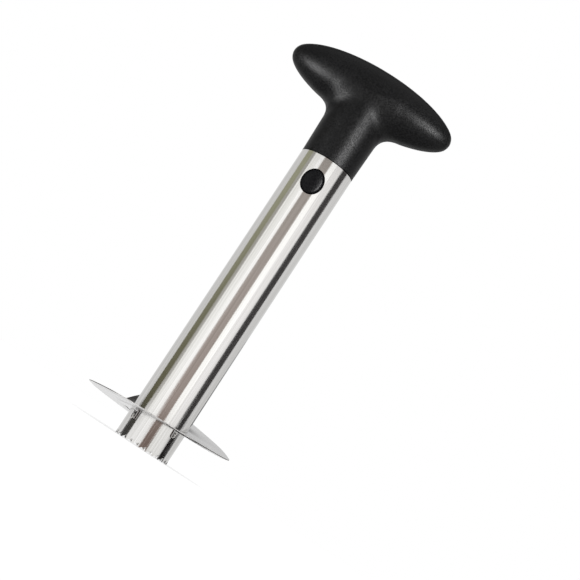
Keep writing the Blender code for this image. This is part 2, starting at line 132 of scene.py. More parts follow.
class Tree:
    """Adds nodes to a shader tree or a geometry tree."""

    def __init__(self, tree: bpy.types.NodeTree) -> None:
        """Keeps the tree."""
        self.tree = tree

    def add(self, kind: str, inputs: dict[str | int, Any] | None = None, **settings: Any) -> bpy.types.Node:
        """Adds a node.

        Args:
            kind: The node's type.
            inputs: What its sockets get, by name or place.
            settings: Its properties, or a ramp's stops or a curve's points, which are set first.

        Returns:
            The node.
        """
        node = self.tree.nodes.new(kind)
        for name, value in settings.items():
            if name == "stops":
                self.set_stops(node.color_ramp, value)
            elif name == "points":
                self.set_points(node.mapping, value)
            else:
                setattr(node, name, value)
        for key, value in (inputs or {}).items():
            self.feed(node.inputs[key], value)
        return node

    def feed(self, socket: bpy.types.NodeSocket, value: Any) -> None:
        """Gives an input what it reads.

        Args:
            socket: The input.
            value: A Value, which is linked, or what the input is set to.
        """
        if isinstance(value, Value):
            self.tree.links.new(value.socket, socket)
        else:
            socket.default_value = value

    def value(self, kind: str, inputs: dict[str | int, Any] | None = None, output: str | int = 0,
              **settings: Any) -> Value:
        """Adds a node and gives the output of that name or place."""
        return Value(self, self.add(kind, inputs, **settings).outputs[output])

    def math(self, operation: str, *values: "Value | float") -> Value:
        """One Math node on values and numbers."""
        return self.value("ShaderNodeMath", dict(enumerate(values)), operation=operation)

    def vector(self, **parts: "Value | float") -> Value:
        """A vector of the given X, Y and Z, and 0 where one isn't given."""
        return self.value("ShaderNodeCombineXYZ", parts)

    def axes(self, vector: Value) -> list[Value]:
        """A vector's three numbers."""
        return [Value(self, socket) for socket in self.add("ShaderNodeSeparateXYZ", {0: vector}).outputs]

    @staticmethod
    def set_stops(ramp: bpy.types.ColorRamp, stops: Sequence[tuple[float, Color]]) -> None:
        """Sets a ramp's stops.

        Args:
            ramp: The ramp.
            stops: Place and colour of each stop, from low to high.
        """
        while len(ramp.elements) < len(stops):
            ramp.elements.new(1.0)
        for element, (place, color) in zip(ramp.elements, stops):
            element.position = place
            element.color = (*color, 1.0)

    @staticmethod
    def set_points(mapping: bpy.types.CurveMapping, points: Sequence[Span]) -> None:
        """Sets a curve's points, with straight lines between them.

        Args:
            mapping: The node's curve.
            points: The points, from low to high.
        """
        curve = mapping.curves[0]
        while len(curve.points) < len(points):
            curve.points.new(1.0, 1.0)
        for knot, place in zip(curve.points, points):
            knot.location = place
            knot.handle_type = "VECTOR"
        mapping.update()


class ShaderTree(Tree):
    """The nodes of a material or the world."""

    @classmethod
    def cleared(cls, owner: Material | bpy.types.World) -> "ShaderTree":
        """The tree of a material or world, without its first nodes.

        Args:
            owner: The material or world.

        Returns:
            Its tree.
        """
        owner.use_nodes = True
        owner.node_tree.nodes.clear()
        return cls(owner.node_tree)

    def coordinates(self) -> Value:
        """The place on the object."""
        return self.value("ShaderNodeTexCoord", output="Object")

    def noise(self, scale: float, detail: float = 2.0, stretch: Point = (1.0, 1.0, 1.0)) -> Value:
        """Noise over the object, between 0 and 1.

        Args:
            scale: How many grains fit in a metre.
            detail: The number of finer layers.
            stretch: A factor for each axis; a small one draws the grains out along it.

        Returns:
            The noise.
        """
        place = self.value("ShaderNodeMapping", {"Vector": self.coordinates(), "Scale": stretch})
        return self.value("ShaderNodeTexNoise", {"Vector": place, "Scale": scale, "Detail": detail})

    def line_noise(self, along: Value, scale: float, detail: float) -> Value:
        """Noise that changes with one value only."""
        return self.value("ShaderNodeTexNoise", {"W": along, "Scale": scale, "Detail": detail}, noise_dimensions="1D")

    def step(self, value: Value, low: float, high: float) -> Value:
        """Rises smoothly from 0 to 1 while the value goes from low to high."""
        return self.value("ShaderNodeMapRange", {"Value": value, "From Min": low, "From Max": high},
                          interpolation_type="SMOOTHSTEP")

    def blend(self, share: Value, first: Color | Value, second: Color | Value) -> Value:
        """Mixes two colours, the first where the share is 0 and the second where it is 1."""
        ends = [(*color, 1.0) if isinstance(color, tuple) else color for color in (first, second)]
        return self.value("ShaderNodeMix", {0: share, 6: ends[0], 7: ends[1]}, 2, data_type="RGBA")

    def bump(self, height: Value, distance: float, strength: float) -> Value:
        """A relief of a height between 0 and 1 times a distance."""
        return self.value("ShaderNodeBump", {"Height": height, "Distance": distance, "Strength": strength})

    def glow(self, color: Color | Value, strength: float = 1.0) -> Value:
        """Light of a colour."""
        shade = (*color, 1.0) if isinstance(color, tuple) else color
        return self.value("ShaderNodeEmission", {"Color": shade, "Strength": strength})


class GeometryTree(Tree):
    """A Geometry Nodes group with named inputs."""

    KINDS = {int: "NodeSocketInt", float: "NodeSocketFloat", Item: "NodeSocketObject", Material: "NodeSocketMaterial"}

    def __init__(self, name: str, **inputs: type) -> None:
        """Makes the group.

        Args:
            name: The group's name.
            inputs: The type of each named input besides the geometry and the finish.
        """
        super().__init__(bpy.data.node_groups.new(name, "GeometryNodeTree"))
        interface = self.tree.interface
        interface.new_socket("Geometry", in_out="INPUT", socket_type="NodeSocketGeometry")
        for label, kind in {**inputs, "finish": Material}.items():
            interface.new_socket(label, in_out="INPUT", socket_type=self.KINDS[kind])
        interface.new_socket("Geometry", in_out="OUTPUT", socket_type="NodeSocketGeometry")
        self.source = self.add("NodeGroupInput")

    def __getitem__(self, label: str) -> Value:
        """One of the group's inputs."""
        return Value(self, self.source.outputs[label])

    def position(self) -> list[Value]:
        """A point's place, as three numbers."""
        return self.axes(self.value("GeometryNodeInputPosition"))

    def moved(self, geometry: Value, **how: Value) -> Value:
        """Moves each point of a geometry to a Position or by an Offset."""
        return self.value("GeometryNodeSetPosition", {"Geometry": geometry, **how})

    def copies(self, points: Value, pattern: Value, **how: Value) -> Value:
        """Puts a copy of a pattern at each point, with a Rotation or a Scale."""
        return self.value("GeometryNodeInstanceOnPoints", {"Points": points, "Instance": pattern, **how})

    def placed(self, geometry: Value, **how: Value) -> Value:
        """Moves a whole geometry by a Translation or a Rotation."""
        return self.value("GeometryNodeTransform", {"Geometry": geometry, **how})

    def end(self, geometry: Value) -> "GeometryTree":
        """Makes the instances real, gives them the finish and closes the group.

        Args:
            geometry: What the group makes.

        Returns:
            The group's tree.
        """
        real = self.value("GeometryNodeRealizeInstances", {"Geometry": geometry})
        dressed = self.value("GeometryNodeSetMaterial", {"Geometry": real, "Material": self["finish"]})
        self.add("NodeGroupOutput", {"Geometry": dressed})
        return self

    def use(self, item: Item, **values: Any) -> None:
        """Puts the group on an object as a modifier.

        Args:
            item: The object.
            values: What the named inputs are set to.
        """
        step = item.modifiers.new(self.tree.name, "NODES")
        step.node_group = self.tree
        for socket in self.tree.interface.items_tree:
            if socket.in_out == "INPUT" and socket.name in values:
                step[socket.identifier] = values[socket.name]


@dataclass(frozen=True)
class Finish:
    """A finish that a material is made from."""

    name: str
    color: Color
    roughness: float

    def material(self) -> Material:
        """Builds the material.

        Returns:
            The material.
        """
        material = bpy.data.materials.new(self.name)
        material.use_nodes = True
        tree = ShaderTree(material.node_tree)
        sockets = material.node_tree.nodes["Principled BSDF"].inputs
        for label, value in self.paint(tree).items():
            tree.feed(sockets[label], value)
        return material

    def paint(self, tree: ShaderTree) -> dict[str, Any]:
        """What the material's inputs read, by name."""
        raise NotImplementedError

    def duller(self, share: float) -> Color:
        """The colour, less bright."""
        return tuple(part * share for part in self.color)


@dataclass(frozen=True)
class BrushedSteel(Finish):
    """Steel brushed along the tube, with a welded seam down its back."""

    dark_color: Color = (0.66, 0.65, 0.63)
    streak_grains: float = 1500.0
    streak_draw: float = 0.006
    streak_depth: float = 0.000012
    band_grains: float = 220.0
    band_draw: float = 0.01
    band_share: float = 0.4
    tone_span: Span = (0.35, 0.65)
    gloss_change: float = 0.06
    seam_width: float = 0.0009
    seam_tint: float = 0.5
    seam_dullness: float = 0.12

    def paint(self, tree: ShaderTree) -> dict[str, Any]:
        """Streaks that run up the tube, and the seam.

        Args:
            tree: The material's nodes.

        Returns:
            What the material's inputs read, by name.
        """
        streaks = tree.noise(self.streak_grains, 3.0, (1.0, 1.0, self.streak_draw))
        bands = tree.noise(self.band_grains, 2.0, (1.0, 1.0, self.band_draw))
        side, depth, _ = tree.axes(tree.coordinates())
        near = 1.0 - tree.step(tree.math("ABSOLUTE", side), self.seam_width / 2, self.seam_width)
        seam = near * tree.step(depth, 0.0, self.seam_width)
        tone = tree.step(streaks * (1.0 - self.band_share) + bands * self.band_share, *self.tone_span)
        steel = tree.blend(tone, self.dark_color, self.color)
        return {"Metallic": 1.0, "Base Color": tree.blend(seam * self.seam_tint, steel, self.dark_color),
                "Roughness": self.roughness + (tone - 0.5) * self.gloss_change + seam * self.seam_dullness,
                "Normal": tree.bump(streaks, self.streak_depth, 0.5)}


@dataclass(frozen=True)
class PolishedSheet(Finish):
    """Polished sheet with faint turned rings, a ground bevel along its rim and a cut edge, coloured as painted light: a
    painted highlight at the front and painted shade round the rest.
    """

    rim_radius: float = 0.0399
    edge_radius: float = 0.04249
    # The cut edge is painted light: a painted highlight within these angles of the front and painted shade round the
    # rest of the rim.
    edge_highlight_color: Color = (0.95, 0.94, 0.93)
    edge_shade_color: Color = (0.16, 0.15, 0.14)
    highlight_turn: float = math.radians(28.0)
    highlight_end: float = math.radians(36.4)
    edge_dullness: float = 0.35
    dull_share: float = 0.88
    gloss_change: float = 0.08
    blur: float = 0.0001
    ring_grains: float = 2600.0
    smear_grains: float = 90.0
    smear_share: float = 0.3
    stroke_grains: float = 160.0
    mark_depth: float = 0.000010

    def paint(self, tree: ShaderTree) -> dict[str, Any]:
        """The rings, faint smears, the grinding marks on the bevel and the cut edge, with its painted highlight at the
        front and painted shade elsewhere.

        Args:
            tree: The material's nodes.

        Returns:
            What the material's inputs read, by name.
        """
        side, depth, _ = tree.axes(tree.coordinates())
        radius = tree.math("SQRT", side * side + depth * depth)
        turn = tree.math("ARCTAN2", side, depth)
        rings = tree.line_noise(radius, self.ring_grains, 3.0)
        strokes = tree.line_noise(turn, self.stroke_grains, 2.0)
        smears = tree.noise(self.smear_grains, 3.0)
        rim = tree.step(radius, self.rim_radius - self.blur, self.rim_radius + self.blur)
        marks = rings * (1.0 - rim) + strokes * rim
        wall = tree.step(radius, self.edge_radius - self.blur, self.edge_radius)
        # The cut edge's colour is painted light: a painted highlight near the front and painted shade round the rest of
        # the rim.
        painted_edge_shade = tree.step(math.pi - tree.math("ABSOLUTE", turn), self.highlight_turn, self.highlight_end)
        sheet = tree.blend(marks * (1.0 - self.smear_share) + smears * self.smear_share,
                           self.duller(self.dull_share), self.color)
        edge = tree.blend(painted_edge_shade, self.edge_highlight_color, self.edge_shade_color)
        return {"Metallic": 1.0, "Base Color": tree.blend(wall, sheet, edge),
                "Roughness": self.roughness + (smears - 0.5) * self.gloss_change + wall * self.edge_dullness,
                "Normal": tree.bump(marks, self.mark_depth, 0.5)}


@dataclass(frozen=True)
class WeldSteel(Finish):
    """Rough weld metal with a straw heat tint."""

    scale_color: Color = (0.012, 0.011, 0.010)
    tint_color: Color = (0.88, 0.85, 0.80)
    lump_grains: float = 1800.0
    lump_depth: float = 0.00012
    patch_grains: float = 620.0
    patch_span: Span = (0.50, 0.58)
    patch_dullness: float = 0.25

    def paint(self, tree: ShaderTree) -> dict[str, Any]:
        """Oxide in patches and a lumpy relief.

        Args:
            tree: The material's nodes.

        Returns:
            What the material's inputs read, by name.
        """
        lumps = tree.noise(self.lump_grains, 3.0)
        patches = tree.step(tree.noise(self.patch_grains), *self.patch_span)
        bare = tree.blend(lumps, self.tint_color, self.color)
        return {"Metallic": 1.0, "Base Color": tree.blend(patches, bare, self.scale_color),
                "Roughness": self.roughness + patches * self.patch_dullness,
                "Normal": tree.bump(lumps, self.lump_depth, 0.9)}


@dataclass(frozen=True)
class TurnedSteel(Finish):
    """Plated steel of a screw or pin, with fine machining marks."""

    mark_grains: float = 2400.0
    mark_draw: float = 0.2
    mark_depth: float = 0.00002
    mark_dullness: float = 0.12
    dull_share: float = 0.8

    def paint(self, tree: ShaderTree) -> dict[str, Any]:
        """The marks.

        Args:
            tree: The material's nodes.

        Returns:
            What the material's inputs read, by name.
        """
        marks = tree.noise(self.mark_grains, 2.0, (1.0, self.mark_draw, 1.0))
        return {"Metallic": 1.0, "Base Color": tree.blend(marks, self.duller(self.dull_share), self.color),
                "Roughness": self.roughness + marks * self.mark_dullness,
                "Normal": tree.bump(marks, self.mark_depth, 0.4)}


@dataclass(frozen=True)
class MouldedPlastic(Finish):
    """Black moulded plastic with a fine texture and faint rubbed places."""

    grains: float = 1500.0
    depth: float = 0.00004
    specular: float = 0.3
    gloss_change: float = 0.08
    worn_color: Color = (0.0185, 0.0185, 0.019)
    grain_span: Span = (0.36, 0.64)
    grain_tint: float = 0.45
    rub_grains: float = 34.0
    rub_span: Span = (0.5, 0.75)
    rub_tint: float = 0.3
    rub_gloss: float = 0.05

    def paint(self, tree: ShaderTree) -> dict[str, Any]:
        """The texture and the rubbed places.

        Args:
            tree: The material's nodes.

        Returns:
            What the material's inputs read, by name.
        """
        pits = tree.noise(self.grains, 1.5)
        grain = tree.step(pits, *self.grain_span)
        rubbed = tree.step(tree.noise(self.rub_grains, 4.0), *self.rub_span)
        pale = rubbed * self.rub_tint + grain * self.grain_tint
        return {"Specular IOR Level": self.specular, "Base Color": tree.blend(pale, self.color, self.worn_color),
                "Roughness": self.roughness + (grain - 0.5) * self.gloss_change - rubbed * self.rub_gloss,
                "Normal": tree.bump(pits, self.depth, 0.8)}


TUBE_FINISH = BrushedSteel("tube brushed steel", (0.82, 0.81, 0.80), 0.12)
BLADE_FINISH = PolishedSheet("blade polished sheet", (0.66, 0.655, 0.655), 0.22)
WELD_FINISH = WeldSteel("weld steel", (0.84, 0.82, 0.79), 0.24)
SCREW_FINISH = TurnedSteel("screw plated steel", (0.62, 0.62, 0.63), 0.26)
HANDLE_FINISH = MouldedPlastic("handle black plastic", (0.0080, 0.0080, 0.0083), 0.38, 1300.0, 0.00008, 0.07, 0.20)
STEM_FINISH = MouldedPlastic("stem black plastic", (0.008, 0.008, 0.009), 0.40, 900.0, 0.00002, 0.25)
BUTTON_FINISH = MouldedPlastic("button satin plastic", (0.006, 0.006, 0.007), 0.30, 1100.0, 0.00001, 0.06)


def eased(share: float) -> float:
    """A share between 0 and 1 that starts and ends slowly."""
    return share * share * (3 - 2 * share)


def around(radius: float, angle: float, height: float) -> Vector:
    """The point at a distance from the tube's axis, an angle from the front and a height."""
    return Vector((radius * math.sin(angle), -radius * math.cos(angle), height))


def bridge(shape: Shape, near: Sequence[Corner], far: Sequence[Corner], skipped: Sequence[int] = ()) -> None:
    """Joins two rings of corners with faces.

    Args:
        shape: The bmesh.
        near: One ring.
        far: The other ring, with as many corners.
        skipped: Places in the ring that get no face.
    """
    for index in range(len(near)):
        after = (index + 1) % len(near)
        if index not in skipped:
            shape.faces.new((near[index], near[after], far[after], far[index]))


def close(shape: Shape, ring: Sequence[Corner], middle: Vector | Point) -> None:
    """Closes a ring of corners with triangles to a new corner.

    Args:
        shape: The bmesh.
        ring: The ring.
        middle: The new corner's place.
    """
    pole = shape.verts.new(middle)
    for index, corner in enumerate(ring):
        shape.faces.new((pole, corner, ring[(index + 1) % len(ring)]))


def new_item(name: str, shape: Shape, outwards: bool = False) -> Item:
    """Turns a bmesh into an object.

    Args:
        name: The object's name.
        shape: The bmesh, which is freed.
        outwards: Whether its faces still have to be turned outwards.

    Returns:
        The object.
    """
    if outwards:
        bmesh.ops.remove_doubles(shape, verts=shape.verts, dist=SAME_PLACE)
        bmesh.ops.recalc_face_normals(shape, faces=shape.faces)
    mesh = bpy.data.meshes.new(name)
    shape.to_mesh(mesh)
    shape.free()
    mesh.shade_smooth()
    item = bpy.data.objects.new(name, mesh)
    bpy.context.scene.collection.objects.link(item)
    return item


def settle(item: Item, sharp: float, helpers: Iterable[Item] = ()) -> Item:
    """Turns an object with its modifiers into a plain mesh.

    Args:
        item: The object.
        sharp: The least angle of an edge that shows as an edge, in degrees.
        helpers: Cutters and guides that are no longer needed.

    Returns:
        The object.
    """
    graph = bpy.context.evaluated_depsgraph_get()
    mesh = bpy.data.meshes.new_from_object(item.evaluated_get(graph), preserve_all_data_layers=True, depsgraph=graph)
    item.modifiers.clear()
    old, item.data = item.data, mesh
    bpy.data.meshes.remove(old)
    mesh.name = item.name
    for helper in helpers:
        bpy.data.objects.remove(helper)
    mesh.shade_smooth()
    mesh.set_sharp_from_angle(angle=math.radians(sharp))
    return item


def boolean(item: Item, other: Item, operation: str = "DIFFERENCE") -> Item:
    """Joins another object to an object, or cuts it out.

    Args:
        item: The object.
        other: The other object, which is hidden.
        operation: UNION to join it, DIFFERENCE to cut it out.

    Returns:
        The other object, to be removed later.
    """
    step = item.modifiers.new(other.name, "BOOLEAN")
    step.operation = operation
    step.solver = "EXACT"
    step.object = other
    other.hide_render = True
    return other


def rod(name: str, start: Point, end: Point, radius: float, across: float = 0.0, steps: int = 48) -> Item:
    """A round or oval rod between two points.

    Args:
        name: The object's name.
        start: The middle of one end.
        end: The middle of the other end.
        radius: Half of its width.
        across: Half of its other width, where it is oval.
        steps: The number of its sides.

    Returns:
        The rod.
    """
    shape = bmesh.new()
    line = Vector(end) - Vector(start)
    bmesh.ops.create_cone(shape, cap_ends=True, segments=steps, radius1=1.0, radius2=1.0, depth=line.length)
    bmesh.ops.rotate(shape, matrix=Matrix.Rotation(math.pi / steps, 3, "Z"), verts=shape.verts)
    bmesh.ops.scale(shape, vec=(radius, across or radius, 1.0), verts=shape.verts)
    turn = line.to_track_quat("Z", "Y").to_matrix().to_4x4()
    middle = Matrix.Translation((Vector(start) + Vector(end)) / 2)
    bmesh.ops.transform(shape, matrix=middle @ turn, verts=shape.verts)
    return new_item(name, shape)


def block(name: str, low: Point, high: Point) -> Item:
    """A box between two corners.

    Args:
        name: The object's name.
        low: The corner with the least numbers.
        high: The corner with the greatest.

    Returns:
        The box.
    """
    shape = bmesh.new()
    bmesh.ops.create_cube(shape, size=1.0)
    bmesh.ops.scale(shape, vec=Vector(high) - Vector(low), verts=shape.verts)
    bmesh.ops.translate(shape, vec=(Vector(high) + Vector(low)) / 2, verts=shape.verts)
    return new_item(name, shape)


def turned(name: str, profile: Sequence[Span], steps: int, start: float = 0.0) -> Item:
    """A solid turned about Z.

    Args:
        name: The object's name.
        profile: Radius and height of its outline; a closed outline ends where it starts.
        steps: The number of its sides.
        start: The angle that the outline is drawn at.

    Returns:
        The solid.
    """
    shape = bmesh.new()
    corners = [shape.verts.new(around(radius, start, height)) for radius, height in profile]
    edges = [shape.edges.new(pair) for pair in zip(corners, corners[1:])]
    bmesh.ops.spin(shape, geom=corners + edges, cent=(0.0, 0.0, 0.0), axis=UP, angle=math.tau, steps=steps,
                   use_merge=True)
    return new_item(name, shape, outwards=True)


def screw_hole(name: str, profile: Sequence[Span], place: Point, turn: float) -> Item:
    """A cutter for a screw's hole.

    Args:
        name: The cutter's name.
        profile: Radius of the hole and distance from its place.
        place: The hole's place.
        turn: The angle about X that turns it from +Z.

    Returns:
        The cutter.
    """
    cutter = turned(name, profile, SCREW_SIDES, HOLE_TURN)
    cutter.data.transform(Matrix.Translation(place) @ Matrix.Rotation(turn, 4, "X"))
    return cutter


def set_normals(item: Item, rule: NormalRule) -> None:
    """Gives the corners of an object's faces their exact normals.

    Args:
        item: The object.
        rule: Gives the normal at a place of a face, from the place and the face's own normal, or None.
    """
    mesh = item.data
    normals = [Vector()] * len(mesh.loops)
    for face in mesh.polygons:
        for loop in face.loop_indices:
            place = mesh.vertices[mesh.loops[loop].vertex_index].co
            normals[loop] = rule(place, face.normal) or Vector()
    mesh.normals_split_custom_set(normals)


def round_wall(place: Vector, flat: Vector) -> Vector | None:
    """The normal of a wall that is round about Z.

    Args:
        place: The place.
        flat: The face's own normal.

    Returns:
        The normal, or None for a face that lies across.
    """
    outward = Vector((place.x, place.y, 0.0)).normalized()
    facing = outward.dot(flat)
    return outward * math.copysign(1.0, facing) if abs(facing) > WALL_FACING else None


def dress(item: Item, material: Material) -> None:
    """Gives an object one material."""
    item.data.materials.clear()
    item.data.materials.append(material)


def hand_over(item: Item, material: Material, body: Body, slot: Slot, nodes: Sequence[str] = (),
              rule: NormalRule | None = None) -> Item:
    """Dresses a finished piece and lets it ride on its body.

    Args:
        item: The piece.
        material: Its material.
        body: The body.
        slot: The record's slot that its finish belongs to; not used.
        nodes: The model's nodes that it stands for.
        rule: What gives its corners their exact normals.

    Returns:
        The piece.
    """
    if rule:
        set_normals(item, rule)
    dress(item, material)
    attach(item, body.value)
    if nodes:
        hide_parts(*nodes)
    LOG.info("%s rides on %s", item.name, body.value)
    return item


def rolled_sheet() -> GeometryTree:
    """The nodes that roll a flat blank, given as angle, radius and height, round the tube's axis.

    Returns:
        The nodes.
    """
    tree = GeometryTree("rolled_sheet")
    angle, radius, height = tree.position()
    place = tree.vector(X=radius * tree.math("SINE", angle), Y=radius * tree.math("COSINE", angle) * -1.0, Z=height)
    return tree.end(tree.moved(tree["Geometry"], Position=place))


@dataclass
class CorerTube:
    """The tube: sheet rolled round, with ground sawteeth and the button's oval hole."""

    wall: float = 0.0008
    lip: float = 0.00028
    edge: float = 0.00015
    tooth_count: int = 24
    tooth_depth: float = 0.0022
    tooth_zone: float = 0.0027
    tooth_outline: Sequence[Span] = ((0.0, 0.0), (0.125, 0.0), (0.875, 1.0), (1.0, 0.0))
    columns: int = 384
    hole_width: float = 0.0127
    hole_height: float = 0.0150
    hole_drop: float = 0.0152
    hole_sides: int = 128

    def teeth(self) -> GeometryTree:
        """The nodes that cut the sawteeth into the blank's lower edge.

        Returns:
            The nodes.
        """
        tree = GeometryTree("saw_teeth", tooth_count=int, tooth_depth=float)
        angle, _, _ = tree.position()
        share = tree.math("FRACT", angle * tree["tooth_count"] / math.tau)
        outline = tree.value("ShaderNodeFloatCurve", {"Value": share}, points=self.tooth_outline)
        lower = tree.value("GeometryNodeInputNamedAttribute", {"Name": "lower"}, "Attribute", data_type="FLOAT")
        return tree.end(tree.moved(tree["Geometry"], Offset=tree.vector(Z=outline * lower * tree["tooth_depth"])))

    def blank(self) -> Item:
        """The wall's closed section, laid out flat as angle, radius and height.

        Returns:
            The blank.
        """
        outer, inner, top = TUBE_RADIUS, TUBE_RADIUS - self.wall, TUBE_HEIGHT
        section = ((outer, 0.0), (outer, self.tooth_zone), (outer, top / 2), (outer, top - self.edge),
                   (outer - self.edge, top), (inner + self.edge, top), (inner, top - self.edge), (inner, top / 2),
                   (inner, self.tooth_zone), (outer - self.lip, 0.0))
        shape = bmesh.new()
        lower = shape.verts.layers.float.new("lower")
        rows = []
        for index in range(self.columns):
            angle = index * math.tau / self.columns
            row = [shape.verts.new((angle, radius, height)) for radius, height in section]
            row[0][lower] = row[-1][lower] = 1.0
            rows.append(row)
        for row, after in zip(rows, [*rows[1:], rows[0]]):
            bridge(shape, row, after)
        return new_item("corer_wall", shape)

    def build(self, roll: GeometryTree, material: Material) -> None:
        """Makes the tube and hands it over.

        Args:
            roll: The nodes that roll the blank.
            material: The tube's steel.
        """
        tube = self.blank()
        self.teeth().use(tube, tooth_count=self.tooth_count, tooth_depth=self.tooth_depth)
        roll.use(tube, finish=material)
        level = TUBE_HEIGHT - self.hole_drop
        cutter = rod("hole_cutter", (0.0, -TUBE_RADIUS - CUT_OVERRUN, level), (0.0, -CUT_OVERRUN, level),
                     self.hole_width / 2, self.hole_height / 2, self.hole_sides)
        settle(tube, CUT_EDGE, [boolean(tube, cutter)])
        hand_over(tube, material, Body.CORER, Slot.TUBE_STEEL, ["corer_tube"], round_wall)


@dataclass
class SlicingBlade:
    """The spiral sheet with its slit, the band that returns inside it, and the welded tabs.

    Each tab has its angle in degrees, how far it hangs down and how tall its weld is.
    """

    radius: float = 0.0425
    bore: float = 0.0163
    thickness: float = 0.0010
    level: float = 0.0179
    rim_width: float = 0.0026
    keen_share: float = 0.35
    keen_sweep: float = math.radians(12.0)
    slit_angle: float = math.radians(197.7)
    slit_radius: float = 0.0240
    slit_width: float = 0.0003
    return_sweep: float = math.radians(72.0)
    columns: int = 360
    return_columns: int = 72
    slope_span: float = math.radians(0.5)
    inner_rows: Sequence[float] = (0.0178, 0.0196, 0.0218)
    outer_rows: Sequence[float] = (0.028, 0.032, 0.036)
    rises: Sequence[Span] = (
        (-162.3, -0.0047), (-112.8, -0.0031), (-57.8, -0.0018), (-22.8, -0.0005), (32.2, 0.0003), (62.2, 0.0011),
        (102.2, 0.0028), (132.2, 0.0058), (197.7, 0.0116))
    tabs: dict[str, tuple[float, float, float]] = field(default_factory=lambda: {
        "front_left": (-42.1, 0.0050, 0.0023), "front_right": (46.5, 0.0040, 0.0023),
        "rear_right": (135.7, 0.0046, 0.0024), "rear": (187.7, 0.0046, 0.0022)})
    tab_thickness: float = 0.0008
    tab_width: float = 0.0026
    tab_bend: float = 0.0009
    tab_lap: float = 0.0012
    tab_chamfer: float = 0.0004
    tab_root_share: float = 0.8
    tab_top_share: float = 0.3
    tab_corner_share: float = 0.2
    lump_count: int = 7
    lump_radius: float = 0.00080
    lump_sway: float = 0.00032
    lump_least: Point = (0.75, 0.5, 0.55)
    lump_most: Point = (1.15, 0.72, 0.9)
    weld_inset: float = 0.0018
    weld_out: float = 0.0005
    weld_drop: float = 0.0004

    def sheet_level(self, angle: float) -> float:
        """The height of the sheet's top before the return, eased between the given rises.

        Args:
            angle: The angle, in radians.

        Returns:
            The height.
        """
        knots = [(math.radians(place), rise) for place, rise in self.rises]
        last = len(knots) - 1
        index = next(index for index in range(1, last + 1) if angle <= knots[index][0] or index == last)
        (start, low), (end, high) = knots[index - 1:index + 1]
        before, after = knots[max(index - 2, 0)], knots[min(index + 1, last)]
        start_slope = (high - before[1]) / (end - before[0])
        end_slope = (after[1] - low) / (after[0] - start)
        share = (angle - start) / (end - start)
        rest = 1 - share
        bend = (end - start) * share * rest * (start_slope * rest - end_slope * share)
        return self.level + low * eased(rest) + high * eased(share) + bend

    def top_level(self, angle: float) -> float:
        """The height of the top anywhere from the sheet's lower end to the return's foot.

        Args:
            angle: The angle, in radians.

        Returns:
            The height.
        """
        if angle <= self.slit_angle:
            return self.sheet_level(angle)
        upper = self.sheet_level(self.slit_angle)
        lower = self.sheet_level(self.slit_angle + self.return_sweep - math.tau)
        return upper + (lower - upper) * eased((angle - self.slit_angle) / self.return_sweep)

    def depth(self, angle: float, radius: float) -> float:
        """How far the underside lies below the top, so that the sheet keeps its thickness on a slope.

        Args:
            angle: The angle, in radians.
            radius: The distance from the tube's axis.

        Returns:
            The distance.
        """
        reach = self.slope_span / 2
        slope = (self.top_level(angle + reach) - self.top_level(angle - reach)) / (self.slope_span * radius)
        share = min((angle - self.slit_angle + math.tau) / self.keen_sweep, 1.0)
        if radius in (self.radius, self.slit_radius + self.slit_width):
            share = 0.0
        return self.thickness * (self.keen_share + (1 - self.keen_share) * share) * math.sqrt(1 + slope * slope)

    def blank(self) -> Item:
        """The sheet laid out flat, as angle, radius and height.

        Returns:
            The blank.
        """
        inner = (self.bore, *self.inner_rows, self.slit_radius)
        outer = (self.slit_radius + self.slit_width, *self.outer_rows, self.radius - self.rim_width, self.radius)
        joint = self.return_columns
        shape = bmesh.new()
        columns: list[dict[float, tuple[Corner, Corner]]] = []
        for index in range(self.columns + joint):
            angle = self.slit_angle - math.tau + math.tau / self.columns * index
            top = self.top_level(angle)
            column = {}
            for radius in (inner if index >= joint else ()) + (outer if index <= self.columns else ()):
                low = top - self.depth(angle, radius)
                column[radius] = (shape.verts.new((angle, radius, top)), shape.verts.new((angle, radius, low)))
            columns.append(column)
        columns.append({radius: columns[joint][radius] for radius in inner})
        for near, far in zip(columns, columns[1:]):
            shared = sorted(set(near) & set(far))
            for small, large in zip(shared, shared[1:]):
                corners = (near[small], near[large], far[large], far[small])
                shape.faces.new([corner[0] for corner in corners])
                shape.faces.new([corner[1] for corner in reversed(corners)])
        # Every open edge of the top gets a wall down to the underside, along the rim, the bore and both slits.
        under = {top: low for column in columns for top, low in column.values()}
        for edge in [edge for edge in shape.edges if edge.is_boundary and edge.verts[0] in under]:
            start, end = edge.link_loops[0].vert, edge.link_loops[0].link_loop_next.vert
            shape.faces.new((end, start, under[start], under[end]))
        return new_item("blade_sheet", shape)

    def tab_plates(self) -> Item:
        """The tabs, each bent down from the sheet's bore and flat against the tube.

        Returns:
            The tabs.
        """
        shape = bmesh.new()
        root = self.thickness * self.tab_root_share
        outer = self.bore + self.tab_thickness
        for turn, drop, _ in self.tabs.values():
            angle = math.radians(turn)
            outline = [(outer + self.tab_bend + self.tab_lap, -root)]
            outline += [(outer + self.tab_bend * (1 - math.sin(bend)), -root - self.tab_bend * (1 - math.cos(bend)))
                        for bend in QUARTER_TURN]
            outline += [(outer, self.tab_chamfer - drop - root), (outer - self.tab_chamfer, -drop - root),
                        (self.bore, -drop - root), (self.bore, self.thickness * -self.tab_top_share),
                        (self.bore + self.tab_chamfer, self.thickness * -self.tab_corner_share)]
            left, right = ([shape.verts.new(around(radius, angle, self.sheet_level(angle) + height)
                                            + around(side, angle + math.pi / 2, 0.0)) for radius, height in outline]
                           for side in (-self.tab_width / 2, self.tab_width / 2))
            bridge(shape, left, right)
            shape.faces.new(left)
            shape.faces.new(right)
        return new_item("blade_tabs", shape, outwards=True)

